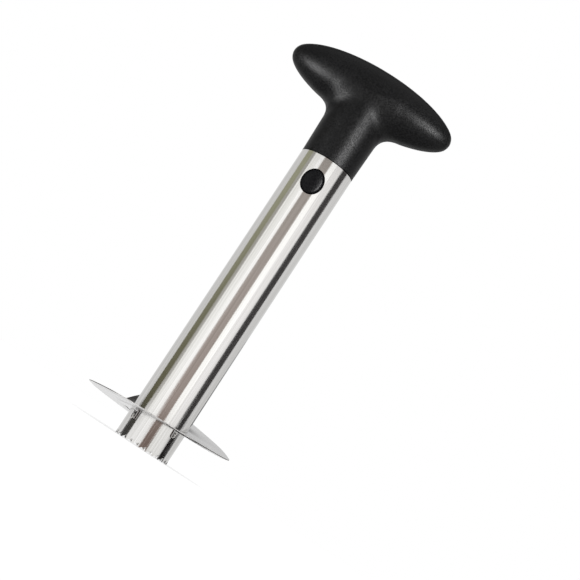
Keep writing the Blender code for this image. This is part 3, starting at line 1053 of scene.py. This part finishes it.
    def build(self, roll: GeometryTree, steel: Material, weld: Material) -> None:
        """Makes the blade, its tabs and their welds, and hands them over.

        Args:
            roll: The nodes that roll the blank.
            steel: The blade's steel.
            weld: The welds' metal.
        """
        sheet = self.blank()
        roll.use(sheet, finish=steel)
        hand_over(settle(sheet, FINE_EDGE), steel, Body.CORER, Slot.BLADE_STEEL, ["slicing_blade"])
        hand_over(settle(self.tab_plates(), CUT_EDGE), steel, Body.CORER, Slot.BLADE_STEEL)
        hand_over(self.welds(weld), weld, Body.CORER, Slot.WELD_STEEL, [f"weld_bead_{place}" for place in self.tabs])

    def ripples(self) -> GeometryTree:
        """The nodes that lay overlapping lumps of weld down a tab, swaying from side to side.

        Returns:
            The nodes.
        """
        tree = GeometryTree("weld_ripples", count=int, reach=float, sway=float, lump_radius=float, seed=int,
                            angle=float, distance=float, top=float)
        pitch = tree["reach"] / (tree["count"] - 1.0)
        line = tree.value("GeometryNodeMeshLine", {"Count": tree["count"], "Offset": tree.vector(Z=pitch * -1.0)})
        side = tree.math("MODULO", tree.value("GeometryNodeInputIndex"), 2.0) * 2.0 - 1.0
        swayed = tree.moved(line, Offset=tree.vector(X=side * tree["sway"]))
        lump = tree.value("GeometryNodeMeshIcoSphere", {"Radius": tree["lump_radius"], "Subdivisions": 3})
        size = tree.value("FunctionNodeRandomValue", {0: self.lump_least, 1: self.lump_most, "Seed": tree["seed"]},
                          data_type="FLOAT_VECTOR")
        lumps = tree.copies(swayed, lump, Scale=size)
        out = tree.placed(lumps, Translation=tree.vector(Y=tree["distance"] * -1.0, Z=tree["top"]))
        return tree.end(tree.placed(out, Rotation=tree.vector(Z=tree["angle"])))

    def welds(self, material: Material) -> Item:
        """Makes the welds of all tabs as one piece.

        Args:
            material: The welds' metal.

        Returns:
            The piece.
        """
        tree = self.ripples()
        whole = bmesh.new()
        for seed, (turn, drop, height) in enumerate(self.tabs.values()):
            angle = math.radians(turn)
            item = new_item("ripple", bmesh.new())
            tree.use(item, count=self.lump_count, reach=drop + height - self.thickness - self.weld_inset,
                     sway=self.lump_sway, lump_radius=self.lump_radius, seed=seed, angle=angle,
                     distance=self.bore + self.weld_out,
                     top=self.sheet_level(angle) - self.thickness - self.weld_drop, finish=material)
            whole.from_mesh(settle(item, NO_EDGE).data)
            bpy.data.objects.remove(item)
        return new_item("tab_welds", whole)


@dataclass
class Handle:
    """The T handle: two hollow shells with a fine seam, closed by three slotted screws."""

    length: float = 0.1018
    bar_height: float = 0.0327
    bar_depth: float = 0.0336
    bar_rise: float = 0.0465
    wall: float = 0.0025
    waist: float = 0.0167
    fillet: float = 0.0060
    flare_share: float = 0.30
    flare_drop_share: float = 0.25
    top_share: float = 0.75
    crease_front: float = 0.0030
    crease_side: float = 0.0090
    fading: Span = (0.024, 0.034)
    sides: int = 8
    rounds: int = 4
    fair_rounds: int = 6
    fair_probe: float = 0.00005
    seam_gap: float = 0.00006
    seam_width: float = 0.00022
    pin_seat: float = 0.0153
    screw_radius: float = 0.0014
    screw_head: float = 0.0028
    screw_head_height: float = 0.0018
    screw_head_outline: Sequence[Span] = ((0.0, 1.0), (0.7, 0.92), (0.93, 0.62), (1.0, 0.3), (1.0, 0.0))
    screw_seat: float = 0.0060
    screw_reach: float = 0.0075
    screw_slot: float = 0.0008
    screw_turn: float = 0.7
    screw_side_share: float = 0.285
    thread_pitch: float = 0.0006
    thread_root_share: float = 0.78
    thread_tip_share: float = 0.7
    boss_wall: float = 0.0016
    middle_rise: float = 0.0020

    @property
    def level(self) -> float:
        """The height of the bar's middle."""
        return TUBE_HEIGHT + self.bar_rise

    @property
    def screws(self) -> list[Span]:
        """Side and height of each screw."""
        side = self.length * self.screw_side_share
        return [(-side, self.level), (side, self.level), (0.0, self.level + self.middle_rise)]

    def cage(self) -> Shape:
        """The coarse cage of the T: an oval bar of rings along X, with the neck drawn out of its underside.

        Returns:
            The cage.
        """
        slant = math.pi / self.sides
        spins = [2 * slant * side for side in range(self.sides)]
        # Rounding draws the cage inwards by these shares, so it is made larger by them.
        shrink = (4 + 2 * math.cos(2 * slant)) / 6
        lengthwise = (4 + 2 * math.cos(slant)) / 6
        length = self.length / 2 / lengthwise
        height, depth = (size / 2 / shrink / lengthwise for size in (self.bar_height, self.bar_depth))
        shape = bmesh.new()
        rings = []
        for turn in (slant * step for step in range(-3, 4)):
            rings.append([shape.verts.new((length * math.sin(turn), -depth * math.cos(turn) * math.sin(spin),
                                           self.level + height * math.cos(turn) * math.cos(spin)))
                          for spin in spins])
        middle = len(rings) // 2
        for index, (near, far) in enumerate(zip(rings, rings[1:])):
            bridge(shape, near, far, (3, 4) if index in (middle - 1, middle) else ())
        close(shape, rings[0], (-length, 0.0, self.level))
        close(shape, rings[-1], (length, 0.0, self.level))
        # The lowest corner of the middle ring makes way for the neck, whose eight-cornered mouth is left open.
        near, centre, far = rings[middle - 1:middle + 2]
        bmesh.ops.delete(shape, geom=[centre[4]], context="VERTS")
        waist, rim = self.waist / shrink, TUBE_RADIUS / shrink
        for side, deep in ((3, -waist), (5, waist)):
            centre[side].co.yz = (deep, self.level - height * self.top_share)
        loop = [far[4], far[3], centre[3], near[3], near[4], near[5], centre[5], far[5]]
        under = self.level - self.bar_height / 2
        between = (waist + rim) / 2
        for across, deep, level in (
                (waist + self.fillet * self.flare_share, waist, under - self.fillet * self.flare_drop_share),
                (waist, waist, under - self.fillet), (between, between, (under + TUBE_HEIGHT) / 2),
                (rim, rim, TUBE_HEIGHT), (rim, rim, TUBE_HEIGHT - CUT_OVERRUN)):
            lower = [shape.verts.new((across * math.cos(spin), -deep * math.sin(spin), level)) for spin in spins]
            bridge(shape, loop, lower)
            loop = lower
        bmesh.ops.recalc_face_normals(shape, faces=shape.faces)
        return shape

    def outside(self, place: Vector) -> float:
        """How far a place lies outside the round neck and the oval bar, which flow into each other.

        Args:
            place: The place.

        Returns:
            The distance, below 0 inside.
        """
        half = Vector((self.length / 2, self.bar_depth / 2, self.bar_height / 2))
        share = Vector((place.x / half.x, place.y / half.y, (place.z - self.level) / half.z))
        slope = Vector((share.x / half.x, share.y / half.y, share.z / half.z))
        bar = share.length * (share.length - 1) / slope.length
        narrow_end = self.level - half.z - self.fillet
        rise = min(max((place.z - TUBE_HEIGHT) / (narrow_end - TUBE_HEIGHT), 0.0), 1.0)
        radius = TUBE_RADIUS + (self.waist - TUBE_RADIUS) * rise
        neck = max(math.hypot(place.x, place.y) - radius, place.z - self.level + self.wall)
        crease = self.crease_front
        crease += (self.crease_side - self.crease_front) * min(abs(place.x) / self.waist, 1.0) ** 2
        return min(bar, neck) - max(crease - abs(bar - neck), 0.0) ** 2 / (4 * crease)

    def fair(self, mesh: bpy.types.Mesh) -> None:
        """Moves the skin's corners near the neck onto the form that outside gives.

        Args:
            mesh: The skin.
        """
        near, far = self.fading
        probes = Matrix.Identity(3) * self.fair_probe
        for corner in mesh.vertices:
            share = eased(min(max((far - abs(corner.co.x)) / (far - near), 0.0), 1.0))
            if not share:
                continue
            place = corner.co.copy()
            for _ in range(self.fair_rounds):
                away = self.outside(place)
                slope = Vector([(self.outside(place + probe) - away) / self.fair_probe for probe in probes])
                place -= slope * (away / slope.length_squared)
            corner.co = corner.co.lerp(place, share)

    def skin(self) -> Item:
        """The handle's whole outside.

        Returns:
            The skin.
        """
        skin = new_item("skin", self.cage())
        curve = skin.modifiers.new("round", "SUBSURF")
        curve.levels = curve.render_levels = self.rounds
        self.fair(settle(skin, NO_EDGE).data)
        return skin

    def half(self, name: str, skin: Item, front: float) -> Item:
        """One hollow half, with its screw bosses, holes and the pin's seat.

        Args:
            name: The piece's name.
            skin: The whole outside.
            front: -1 for the front half and 1 for the rear one.

        Returns:
            The half.
        """
        shape = bmesh.new()
        shape.from_mesh(skin.data)
        for place, normal, cut in (((0.0, front * self.seam_gap / 2, 0.0), (0.0, -front, 0.0), True),
                                   ((0.0, 0.0, TUBE_HEIGHT + FIT_GAP), (0.0, 0.0, -1.0), True),
                                   ((0.0, front * (self.seam_gap + self.seam_width), 0.0), (0.0, 1.0, 0.0), False)):
            bmesh.ops.bisect_plane(shape, geom=[*shape.verts, *shape.edges, *shape.faces], plane_co=place,
                                   plane_no=normal, clear_outer=cut)
        # The rims at the seam are drawn in, which leaves a fine groove between the halves.
        shape.normal_update()
        for corner in shape.verts:
            if corner.is_boundary and abs(corner.co.y) <= self.seam_gap:
                corner.co -= Vector((corner.normal.x, 0.0, corner.normal.z)).normalized() * self.seam_width / 2
        item = new_item(name, shape)
        wall = item.modifiers.new("wall", "SOLIDIFY")
        wall.thickness = self.wall
        wall.offset = -1.0
        wall.use_even_offset = True
        # Each boss ends within the wall that curves over it.
        helpers = []
        for index, (side, level) in enumerate(self.screws):
            radius = self.boss_wall + FIT_GAP + (self.screw_radius if front < 0 else self.screw_head)
            left = 1 - (2 * (abs(side) + radius) / self.length) ** 2
            left -= (2 * (abs(level - self.level) + radius) / self.bar_height) ** 2
            end = self.bar_depth / 2 * math.sqrt(left) - self.wall / 4
            boss = rod(f"{name}_boss_{index}", (side, front * FIT_GAP / 2, level), (side, front * end, level), radius)
            helpers.append(boolean(item, boss, "UNION"))
        shank, head = self.screw_radius + FIT_GAP, self.screw_head + FIT_GAP
        tip = -self.screw_reach - FIT_GAP
        profile = ((0.0, self.length), (head, self.length), (head, self.screw_seat), (shank, self.screw_seat),
                   (shank, tip), (0.0, tip))
        for index, (side, level) in enumerate(self.screws):
            hole = screw_hole(f"{name}_hole_{index}", profile, (side, 0.0, level), -math.pi / 2)
            helpers.append(boolean(item, hole))
        seat = rod(f"{name}_seat", (-self.pin_seat, 0.0, PIN_LEVEL), (self.pin_seat, 0.0, PIN_LEVEL),
                   PIN_RADIUS + FIT_GAP)
        helpers.append(boolean(item, seat))
        return settle(item, MOULDED_EDGE, helpers)

    def screw(self) -> Item:
        """A slotted pan-head screw that points along +Z, with its seat at height 0 and its thread below.

        Returns:
            The screw.
        """
        crown, pitch = self.screw_head_height, self.thread_pitch
        profile = [(self.screw_head * across, crown * rise) for across, rise in self.screw_head_outline]
        profile.append((self.screw_radius, 0.0))
        level, end = -FIT_GAP - pitch, -self.screw_seat - self.screw_reach
        while level > end + 2 * pitch:
            profile += [(self.screw_radius, level), (self.screw_radius * self.thread_root_share, level - pitch / 2)]
            level -= pitch
        profile += [(self.screw_radius * self.thread_tip_share, end + pitch), (0.0, end)]
        screw = turned("screw_pattern", profile, SCREW_SIDES)
        slot = block("slot", (-self.length, -self.screw_slot / 2, crown - self.screw_slot),
                     (self.length, self.screw_slot / 2, self.length))
        return settle(screw, MOULDED_EDGE, [boolean(screw, slot)])

    @staticmethod
    def screw_set() -> GeometryTree:
        """The nodes that put a screw at each point, driven from the rear.

        Returns:
            The nodes.
        """
        tree = GeometryTree("screw_set", screw=Item, turn=float)
        pattern = tree.value("GeometryNodeObjectInfo", {"Object": tree["screw"]}, "Geometry")
        points = tree.value("GeometryNodeMeshToPoints", {"Mesh": tree["Geometry"]})
        turn = tree.vector(X=-math.pi / 2, Y=tree.value("GeometryNodeInputIndex") * tree["turn"])
        return tree.end(tree.copies(points, pattern, Rotation=turn))

    def build(self, plastic: Material, steel: Material) -> list[Item]:
        """Makes the shells and their screws, and hands them over.

        Args:
            plastic: The shells' plastic.
            steel: The screws' steel.

        Returns:
            The shells.
        """
        skin = self.skin()
        follow = skin_rule(skin)
        shells = [hand_over(self.half(f"shell_{place}", skin, front), plastic, Body.HANDLE, Slot.BLACK_PLASTIC,
                            [f"handle_{place}_shell"], follow) for place, front in (("front", -1.0), ("rear", 1.0))]
        bpy.data.objects.remove(skin)
        pattern = self.screw()
        shape = bmesh.new()
        for side, level in self.screws:
            shape.verts.new((side, self.screw_seat + FIT_GAP, level))
        screws = new_item("shell_screws", shape)
        self.screw_set().use(screws, screw=pattern, turn=self.screw_turn, finish=steel)
        hand_over(settle(screws, MOULDED_EDGE, [pattern]), steel, Body.HANDLE, Slot.SCREW_STEEL,
                  [f"handle_screw_{place}" for place in ("left", "right", "middle")])
        return shells


def skin_rule(skin: Item) -> NormalRule:
    """Gives the rule that lends a smooth skin's normals to the faces that lie on it.

    Args:
        skin: The object with the skin.

    Returns:
        The rule.
    """
    corners = [corner.co.copy() for corner in skin.data.vertices]
    normals = [corner.normal.copy() for corner in skin.data.vertices]
    faces = [tuple(face.vertices) for face in skin.data.polygons]
    tree = BVHTree.FromPolygons(corners, faces)

    def rule(place: Vector, flat: Vector) -> Vector | None:
        """The skin's normal at a place, if the face lies on the skin.

        Args:
            place: The place.
            flat: The face's own normal.

        Returns:
            The normal, or None.
        """
        near, _, index, _ = tree.find_nearest(place, SKIN_REACH)
        if near is None:
            return None
        weights = poly_3d_calc([corners[corner] for corner in faces[index]], near)
        normal = sum((normals[corner] * weight for corner, weight in zip(faces[index], weights)), Vector())
        normal.normalize()
        return normal if normal.dot(flat) > SKIN_FACING else None

    return rule


@dataclass
class Stem:
    """The hollow sleeve that carries the handle in the tube, with its ribs."""

    depth: float = 0.0440
    radius: float = 0.0149
    bore: float = 0.0119
    wall: float = 0.0030
    neck_radius: float = 0.0132
    neck_height: float = 0.0200
    chamfer: float = 0.0010
    sides: int = 144
    window_width: float = 0.0123
    window_height: float = 0.0152
    window_level: float = 0.1681
    window_sides: int = 96
    screw_level: float = 0.1438
    screw_head: float = 0.0024
    screw_radius: float = 0.00125
    screw_head_height: float = 0.0014
    screw_sink: float = 0.0002
    rib_count: int = 20
    rib_width: float = 0.0007
    rib_height: float = 0.00015
    rib_length: float = 0.0300

    def build(self, material: Material) -> None:
        """Makes the sleeve and its ribs, and hands them over.

        Args:
            material: Their plastic.
        """
        low, high, rim = TUBE_HEIGHT - self.depth, TUBE_HEIGHT + self.neck_height, TUBE_HEIGHT
        neck_bore = self.neck_radius - self.wall
        profile = ((self.neck_radius, high), (self.neck_radius, rim), (self.radius, rim),
                   (self.radius, low + self.chamfer), (self.radius - self.chamfer, low), (self.bore, low),
                   (self.bore, rim - self.wall), (neck_bore, rim), (neck_bore, high), (self.neck_radius, high))
        sleeve = turned("stem_sleeve", profile, self.sides)
        reach = self.neck_radius + CUT_OVERRUN
        window = rod("window", (0.0, -TUBE_RADIUS, self.window_level), (0.0, -self.bore / 2, self.window_level),
                     self.window_width / 2, self.window_height / 2, self.window_sides)
        cross = rod("cross", (-reach, 0.0, PIN_LEVEL), (reach, 0.0, PIN_LEVEL), PIN_RADIUS + FIT_GAP)
        face = self.radius - self.screw_sink
        head, shank = self.screw_head + FIT_GAP, self.screw_radius + FIT_GAP
        sink = screw_hole("sink", ((0.0, TUBE_RADIUS), (head, TUBE_RADIUS), (head, face),
                                   (shank, face - self.screw_head_height), (shank, self.bore / 2),
                                   (0.0, self.bore / 2)), (0.0, 0.0, self.screw_level), math.pi / 2)
        settle(sleeve, CUT_EDGE, [boolean(sleeve, cutter) for cutter in (window, cross, sink)])
        hand_over(sleeve, material, Body.HANDLE, Slot.BLACK_PLASTIC, ["handle_stem"], round_wall)
        ribs = new_item("stem_ribs", bmesh.new())
        self.ribs().use(ribs, rib_count=self.rib_count, radius=self.radius, width=self.rib_width,
                        height=self.rib_height, length=self.rib_length, low=low + 2 * self.chamfer,
                        latch_half_width=self.window_width / 2 + self.rib_width, finish=material)
        hand_over(settle(ribs, CUT_EDGE), material, Body.HANDLE, Slot.BLACK_PLASTIC)

    @staticmethod
    def ribs() -> GeometryTree:
        """The nodes that stand ribs round the sleeve, except where the latch is.

        Returns:
            The nodes.
        """
        tree = GeometryTree("sleeve_ribs", rib_count=int, radius=float, width=float, height=float, length=float,
                            low=float, latch_half_width=float)
        circle = tree.value("GeometryNodeMeshCircle", {"Vertices": tree["rib_count"], "Radius": tree["radius"]},
                            "Mesh")
        side, depth, _ = tree.position()
        front = tree.math("LESS_THAN", depth, 0.0)
        near = tree.math("LESS_THAN", tree.math("ABSOLUTE", side), tree["latch_half_width"])
        kept = tree.value("GeometryNodeDeleteGeometry", {"Geometry": circle, "Selection": front * near},
                          domain="POINT")
        size = tree.vector(X=tree["height"] * 2.0, Y=tree["width"], Z=tree["length"])
        rib = tree.value("GeometryNodeMeshCube", {"Size": size}, "Mesh")
        turn = tree.vector(Z=tree.math("ARCTAN2", depth, side))
        rise = tree.vector(Z=tree["low"] + tree["length"] / 2.0)
        return tree.end(tree.placed(tree.copies(kept, rib, Rotation=turn), Translation=rise))


@dataclass
class ReleaseLatch:
    """The latch: an oval button that follows the tube's round, its springy arm and its foot."""

    face_radius: float = 0.0165
    width: float = 0.0115
    height: float = 0.0138
    level: float = 0.1678
    edge: float = 0.0011
    arm_face: float = 0.010908
    arm_width: float = 0.0080
    arm_thickness: float = 0.0018
    arm_length: float = 0.0240
    foot_width: float = 0.0070
    foot_height: float = 0.0050
    foot_depth: float = 0.0046
    bore_radius: float = 0.00155
    rings: int = 10
    columns: int = 72

    def outline(self) -> list[Span]:
        """Share of the oval and sink below the face, from the middle over the rounded edge.

        Returns:
            The pairs, without the middle.
        """
        start = 1 - 2 * self.edge / self.width
        flat = [(start * step / self.rings, 0.0) for step in range(1, self.rings + 1)]
        return flat + [(start + (1 - start) * math.sin(bend), self.edge * (1 - math.cos(bend)))
                       for bend in QUARTER_TURN[1:]]

    def button(self) -> Item:
        """The button, with a rounded edge.

        Returns:
            The button.
        """
        shape = bmesh.new()
        back = -(self.arm_face - self.arm_thickness / 2)
        loops = []
        for share, sink in self.outline():
            loop = []
            for turn in (math.tau * step / self.columns for step in range(self.columns)):
                side, rise = share * self.width / 2 * math.cos(turn), share * self.height / 2 * math.sin(turn)
                front = -math.sqrt((self.face_radius - sink) ** 2 - side * side)
                loop.append(shape.verts.new((side, front, self.level + rise)))
            loops.append(loop)
        loops.append([shape.verts.new((corner.co.x, back, corner.co.z)) for corner in loops[-1]])
        for near, far in zip(loops, loops[1:]):
            bridge(shape, near, far)
        close(shape, loops[0], (0.0, -self.face_radius, self.level))
        close(shape, loops[-1], (0.0, back, self.level))
        return new_item("latch_button", shape, outwards=True)

    def build(self, material: Material) -> Item:
        """Makes the latch and hands it over.

        Args:
            material: Its plastic.

        Returns:
            The latch.
        """
        latch = self.button()
        low = self.level - self.arm_length
        arm = block("arm", (-self.arm_width / 2, -self.arm_face, low),
                    (self.arm_width / 2, -self.arm_face + self.arm_thickness, self.level + self.height / 2))
        foot = block("foot", (-self.foot_width / 2, -self.arm_face, low - self.foot_height / 2),
                     (self.foot_width / 2, -self.arm_face + self.foot_depth, low + self.foot_height / 2))
        bore = rod("bore", (0.0, -self.face_radius, low), (0.0, 0.0, low), self.bore_radius)
        settle(latch, MOULDED_EDGE, [boolean(latch, arm, "UNION"), boolean(latch, foot, "UNION"), boolean(latch, bore)])
        return hand_over(latch, material, Body.LATCH, Slot.BUTTON_PLASTIC, ["release_latch"])


@dataclass(frozen=True)
class Card:
    """A curved card round the tube that only reflections show.

    Its sides are angles from the camera's direction, in degrees, and its levels are heights.
    """

    name: str
    sides: Span
    levels: Span
    color: Color
    top_color: Color | None = None


@dataclass(frozen=True)
class Lamp:
    """A lamp that faces the handle.

    Its azimuth goes from the front towards +X and its elevation up from the level, both in degrees. Its size is its
    width and height, and its power is in watts.
    """

    name: str
    azimuth: float
    elevation: float
    distance: float
    size: Span
    power: float


@dataclass
class Studio:
    """The floor, the cards, the lamps, the world and the camera."""

    LOWER: ClassVar[Span] = (-0.4, 0.035)
    UPPER: ClassVar[Span] = (0.035, 0.52)

    camera_place: Point = (0.07615, -0.68498, 0.0088)
    camera_aim: Point = (0.020353, 0.000782, 0.114182)
    camera_roll: float = math.radians(33.088)
    view_azimuth: float = 6.34
    focal_pixels: float = 1288.4
    picture_pixels: int = 580
    sensor_width_mm: float = 36.0
    clip: Span = (0.01, 20.0)
    handle_middle: Point = (0.0, 0.0, 0.225)
    floor_radius: float = 3.0
    floor_sides: int = 96
    floor_color: Color = (0.9, 0.9, 0.9)
    floor_glow: float = 1.19
    floor_shade_share: float = 0.35
    soft_light: Color = (0.75, 0.75, 0.75)
    card_distance: float = 1.2
    card_lean: float = -8.0
    card_step: float = 3.0
    cards: Sequence[Card] = (
        Card("card_low_left", (-112.0, -76.0), LOWER, (0.050, 0.048, 0.048)),
        Card("card_low_white_left", (-76.0, -11.0), LOWER, (1.05, 1.05, 1.05)),
        Card("card_low_middle", (-11.0, 20.0), LOWER, (0.21, 0.155, 0.135)),
        Card("card_low_white_right", (20.0, 74.0), LOWER, (0.95, 0.95, 0.94)),
        Card("card_low_right", (78.0, 110.0), LOWER, (0.012, 0.010, 0.010)),
        Card("card_shade_left", (-74.0, -61.0), UPPER, (0.45, 0.44, 0.41)),
        Card("card_white_left", (-61.0, -36.0), UPPER, (1.08, 1.08, 1.06)),
        Card("card_bright_left", (-36.0, -19.0), UPPER, (1.21, 1.21, 1.20)),
        Card("card_white_right", (16.4, 38.0), UPPER, (1.36, 1.36, 1.35)),
        Card("card_pale_right", (38.0, 66.0), UPPER, (1.05, 1.04, 1.04)),
        Card("card_charcoal", (69.5, 99.0), UPPER, (0.055, 0.052, 0.052)),
        Card("card_edge_right", (147.0, 173.0), (0.035, 0.2), (0.10, 0.10, 0.10), (0.50, 0.50, 0.50)),
        Card("card_middle", (-19.0, 16.4), UPPER, (0.44, 0.37, 0.34), (0.42, 0.39, 0.36)),
        Card("card_olive", (-102.0, -74.0), UPPER, (0.125, 0.117, 0.070), (0.40, 0.40, 0.29)))
    high_card: Card = Card("card_dark_high", (-110.0, 110.0), (0.52, 3.0), (0.02, 0.02, 0.02), (0.60, 0.60, 0.59))
    # A dark card just under the floor beside the tube, seen only in reflections: a painted shadow for the blade's right
    # bevel to reflect.
    painted_shadow_card: tuple[Point, Point] = ((0.008, -0.03, -0.002), (0.033, 0.030, -0.001))
    painted_shadow_color: Color = (0.015, 0.014, 0.014)
    gloss_stops: Sequence[tuple[float, Color]] = (
        (0.14, (0.06, 0.06, 0.06)), (0.20, (0.98, 0.98, 0.98)), (0.45, (0.98, 0.98, 0.98)),
        (0.50, (0.75, 0.75, 0.75)), (0.74, (0.75, 0.75, 0.75)), (0.84, (0.03, 0.028, 0.026)),
        (0.90, (0.03, 0.028, 0.026)), (0.97, (0.50, 0.50, 0.50)))
    key_lamp: Lamp = Lamp("key_lamp", 35.2, 62.0, 0.9, (0.35, 0.35), 2.8)
    right_lamp: Lamp = Lamp("handle_lamp_right", 38.2, 6.0, 0.8, (0.40, 0.34), 16.0)
    left_lamp: Lamp = Lamp("handle_lamp_left", -47.8, -26.0, 0.40, (0.20, 0.20), 3.4)

    def build(self, shells: Sequence[Item], latch: Item) -> None:
        """Makes the whole studio.

        Args:
            shells: The handle's shells, which have lamps of their own.
            latch: The latch, which the right one of these lamps shows on.
        """
        self.add_floor()
        for card in self.cards:
            self.add_card(card)
        # The painted shadow: a dark card under the blade that only reflections show.
        low, high = self.painted_shadow_card
        self.finish_card(block("card_floor", low, high), (low[2], high[2]), self.painted_shadow_color)
        self.add_card(self.high_card)
        self.add_world()
        self.add_lamp(self.key_lamp)
        self.add_lamp(self.right_lamp, [*shells, latch])
        self.add_lamp(self.left_lamp, shells)
        self.add_camera()

    def add_floor(self) -> None:
        """A pale round floor under the teeth that keeps a soft shadow."""
        shape = bmesh.new()
        bmesh.ops.create_circle(shape, cap_ends=True, segments=self.floor_sides, radius=self.floor_radius)
        floor = new_item("floor", shape)
        material = bpy.data.materials.new("floor white")
        tree = ShaderTree.cleared(material)
        matt = tree.value("ShaderNodeBsdfDiffuse", {"Color": (*self.floor_color, 1.0)})
        mixed = tree.value("ShaderNodeMixShader", {0: self.floor_shade_share, 1: tree.glow(WHITE, self.floor_glow),
                                                   2: matt})
        tree.add("ShaderNodeOutputMaterial", {"Surface": mixed})
        dress(floor, material)
        floor.visible_glossy = False

    def add_card(self, card: Card) -> None:
        """Stands a card round the tube.

        Args:
            card: The card.
        """
        shape = bmesh.new()
        start, end = card.sides
        count = max(2, round((end - start) / self.card_step))
        rows = []
        for step in range(count + 1):
            turn = self.view_azimuth + start + (end - start) * step / count
            rows.append([shape.verts.new(around(self.card_distance, math.radians(turn + self.card_lean * height),
                                                height)) for height in card.levels])
        for near, far in zip(rows, rows[1:]):
            shape.faces.new((near[0], near[1], far[1], far[0]))
        self.finish_card(new_item(card.name, shape), card.levels, card.color, card.top_color)

    @staticmethod
    def finish_card(item: Item, levels: Span, color: Color, top_color: Color | None = None) -> None:
        """Lets a card glow, seen only in reflections.

        Args:
            item: The card.
            levels: The heights of its foot and its top.
            color: Its colour.
            top_color: Its colour at the top, where it changes.
        """
        material = bpy.data.materials.new(item.name)
        tree = ShaderTree.cleared(material)
        _, _, height = tree.axes(tree.coordinates())
        share = tree.value("ShaderNodeMapRange", {"Value": height, "From Min": levels[0], "From Max": levels[1]})
        tree.add("ShaderNodeOutputMaterial", {"Surface": tree.glow(tree.blend(share, color, top_color or color))})
        dress(item, material)
        item.visible_camera = item.visible_diffuse = item.visible_shadow = False
        item.visible_transmission = item.visible_volume_scatter = False

    def add_world(self) -> None:
        """White to the camera, pale grey to reflections and soft light for the rest."""
        world = bpy.data.worlds.new("studio")
        bpy.context.scene.world = world
        tree = ShaderTree.cleared(world)
        path = tree.add("ShaderNodeLightPath")
        _, _, rise = tree.axes(tree.value("ShaderNodeTexCoord", output="Generated"))
        gloss = tree.value("ShaderNodeValToRGB", {"Fac": rise * 0.5 + 0.5}, stops=self.gloss_stops)
        lit = tree.blend(Value(tree, path.outputs["Is Glossy Ray"]), self.soft_light, gloss)
        seen = tree.blend(Value(tree, path.outputs["Is Camera Ray"]), lit, WHITE)
        light = tree.value("ShaderNodeBackground", {"Color": seen, "Strength": 1.0})
        tree.add("ShaderNodeOutputWorld", {"Surface": light})

    def add_lamp(self, lamp: Lamp, pieces: Sequence[Item] = ()) -> None:
        """Hangs a lamp.

        Args:
            lamp: The lamp.
            pieces: The pieces that it shows on as gloss, or none if it is a soft light for the whole scene.
        """
        data = bpy.data.lights.new(lamp.name, "AREA")
        data.shape = "RECTANGLE"
        data.size, data.size_y = lamp.size
        data.energy = lamp.power
        item = bpy.data.objects.new(lamp.name, data)
        bpy.context.scene.collection.objects.link(item)
        rise = math.radians(lamp.elevation)
        toward = around(math.cos(rise), math.radians(lamp.azimuth), math.sin(rise))
        item.location = Vector(self.handle_middle) + toward * lamp.distance
        item.rotation_mode = "QUATERNION"
        item.rotation_quaternion = toward.to_track_quat("Z", "Y")
        item.visible_camera = False
        item.visible_glossy = bool(pieces)
        if pieces:
            item.visible_diffuse = False
            item.light_linking.receiver_collection = bpy.data.collections.new(lamp.name)
            for piece in pieces:
                item.light_linking.receiver_collection.objects.link(piece)

    def add_camera(self) -> None:
        """Sets the camera where the picture was taken from, turned about its line of sight."""
        data = bpy.data.cameras.new("camera")
        data.sensor_width = self.sensor_width_mm
        data.lens = self.sensor_width_mm * self.focal_pixels / self.picture_pixels
        data.clip_start, data.clip_end = self.clip
        camera = bpy.data.objects.new("camera", data)
        bpy.context.scene.collection.objects.link(camera)
        place, aim = Vector(self.camera_place), Vector(self.camera_aim)
        ahead = (aim - place).normalized()
        right = ahead.cross(UP).normalized()
        up = right.cross(ahead)
        cosine, sine = math.cos(self.camera_roll), math.sin(self.camera_roll)
        across, upward = right * cosine + up * sine, up * cosine - right * sine
        camera.matrix_world = Matrix.Translation(place) @ Matrix((across, upward, -ahead)).transposed().to_4x4()
        bpy.context.scene.camera = camera


def dress_nodes(finishes: dict[str, Material]) -> None:
    """Gives the model's own nodes that stay visible their finishes.

    Args:
        finishes: The material of each node.
    """
    for name, material in finishes.items():
        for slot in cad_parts[name].material_slots:
            slot.material = material
        LOG.info("%s keeps its shape", name)


def main() -> None:
    """Builds every piece, dresses the nodes that stay and sets up the studio."""
    logging.basicConfig(level=logging.INFO)
    steel = SCREW_FINISH.material()
    roll = rolled_sheet()
    CorerTube().build(roll, TUBE_FINISH.material())
    SlicingBlade().build(roll, BLADE_FINISH.material(), WELD_FINISH.material())
    shells = Handle().build(HANDLE_FINISH.material(), steel)
    Stem().build(STEM_FINISH.material())
    latch = ReleaseLatch().build(BUTTON_FINISH.material())
    dress_nodes({"stem_pin": steel, "latch_screw": steel})
    Studio().build(shells, latch)
    bpy.context.scene.view_settings.view_transform = "Standard"


if __name__ == "__main__":
    main()
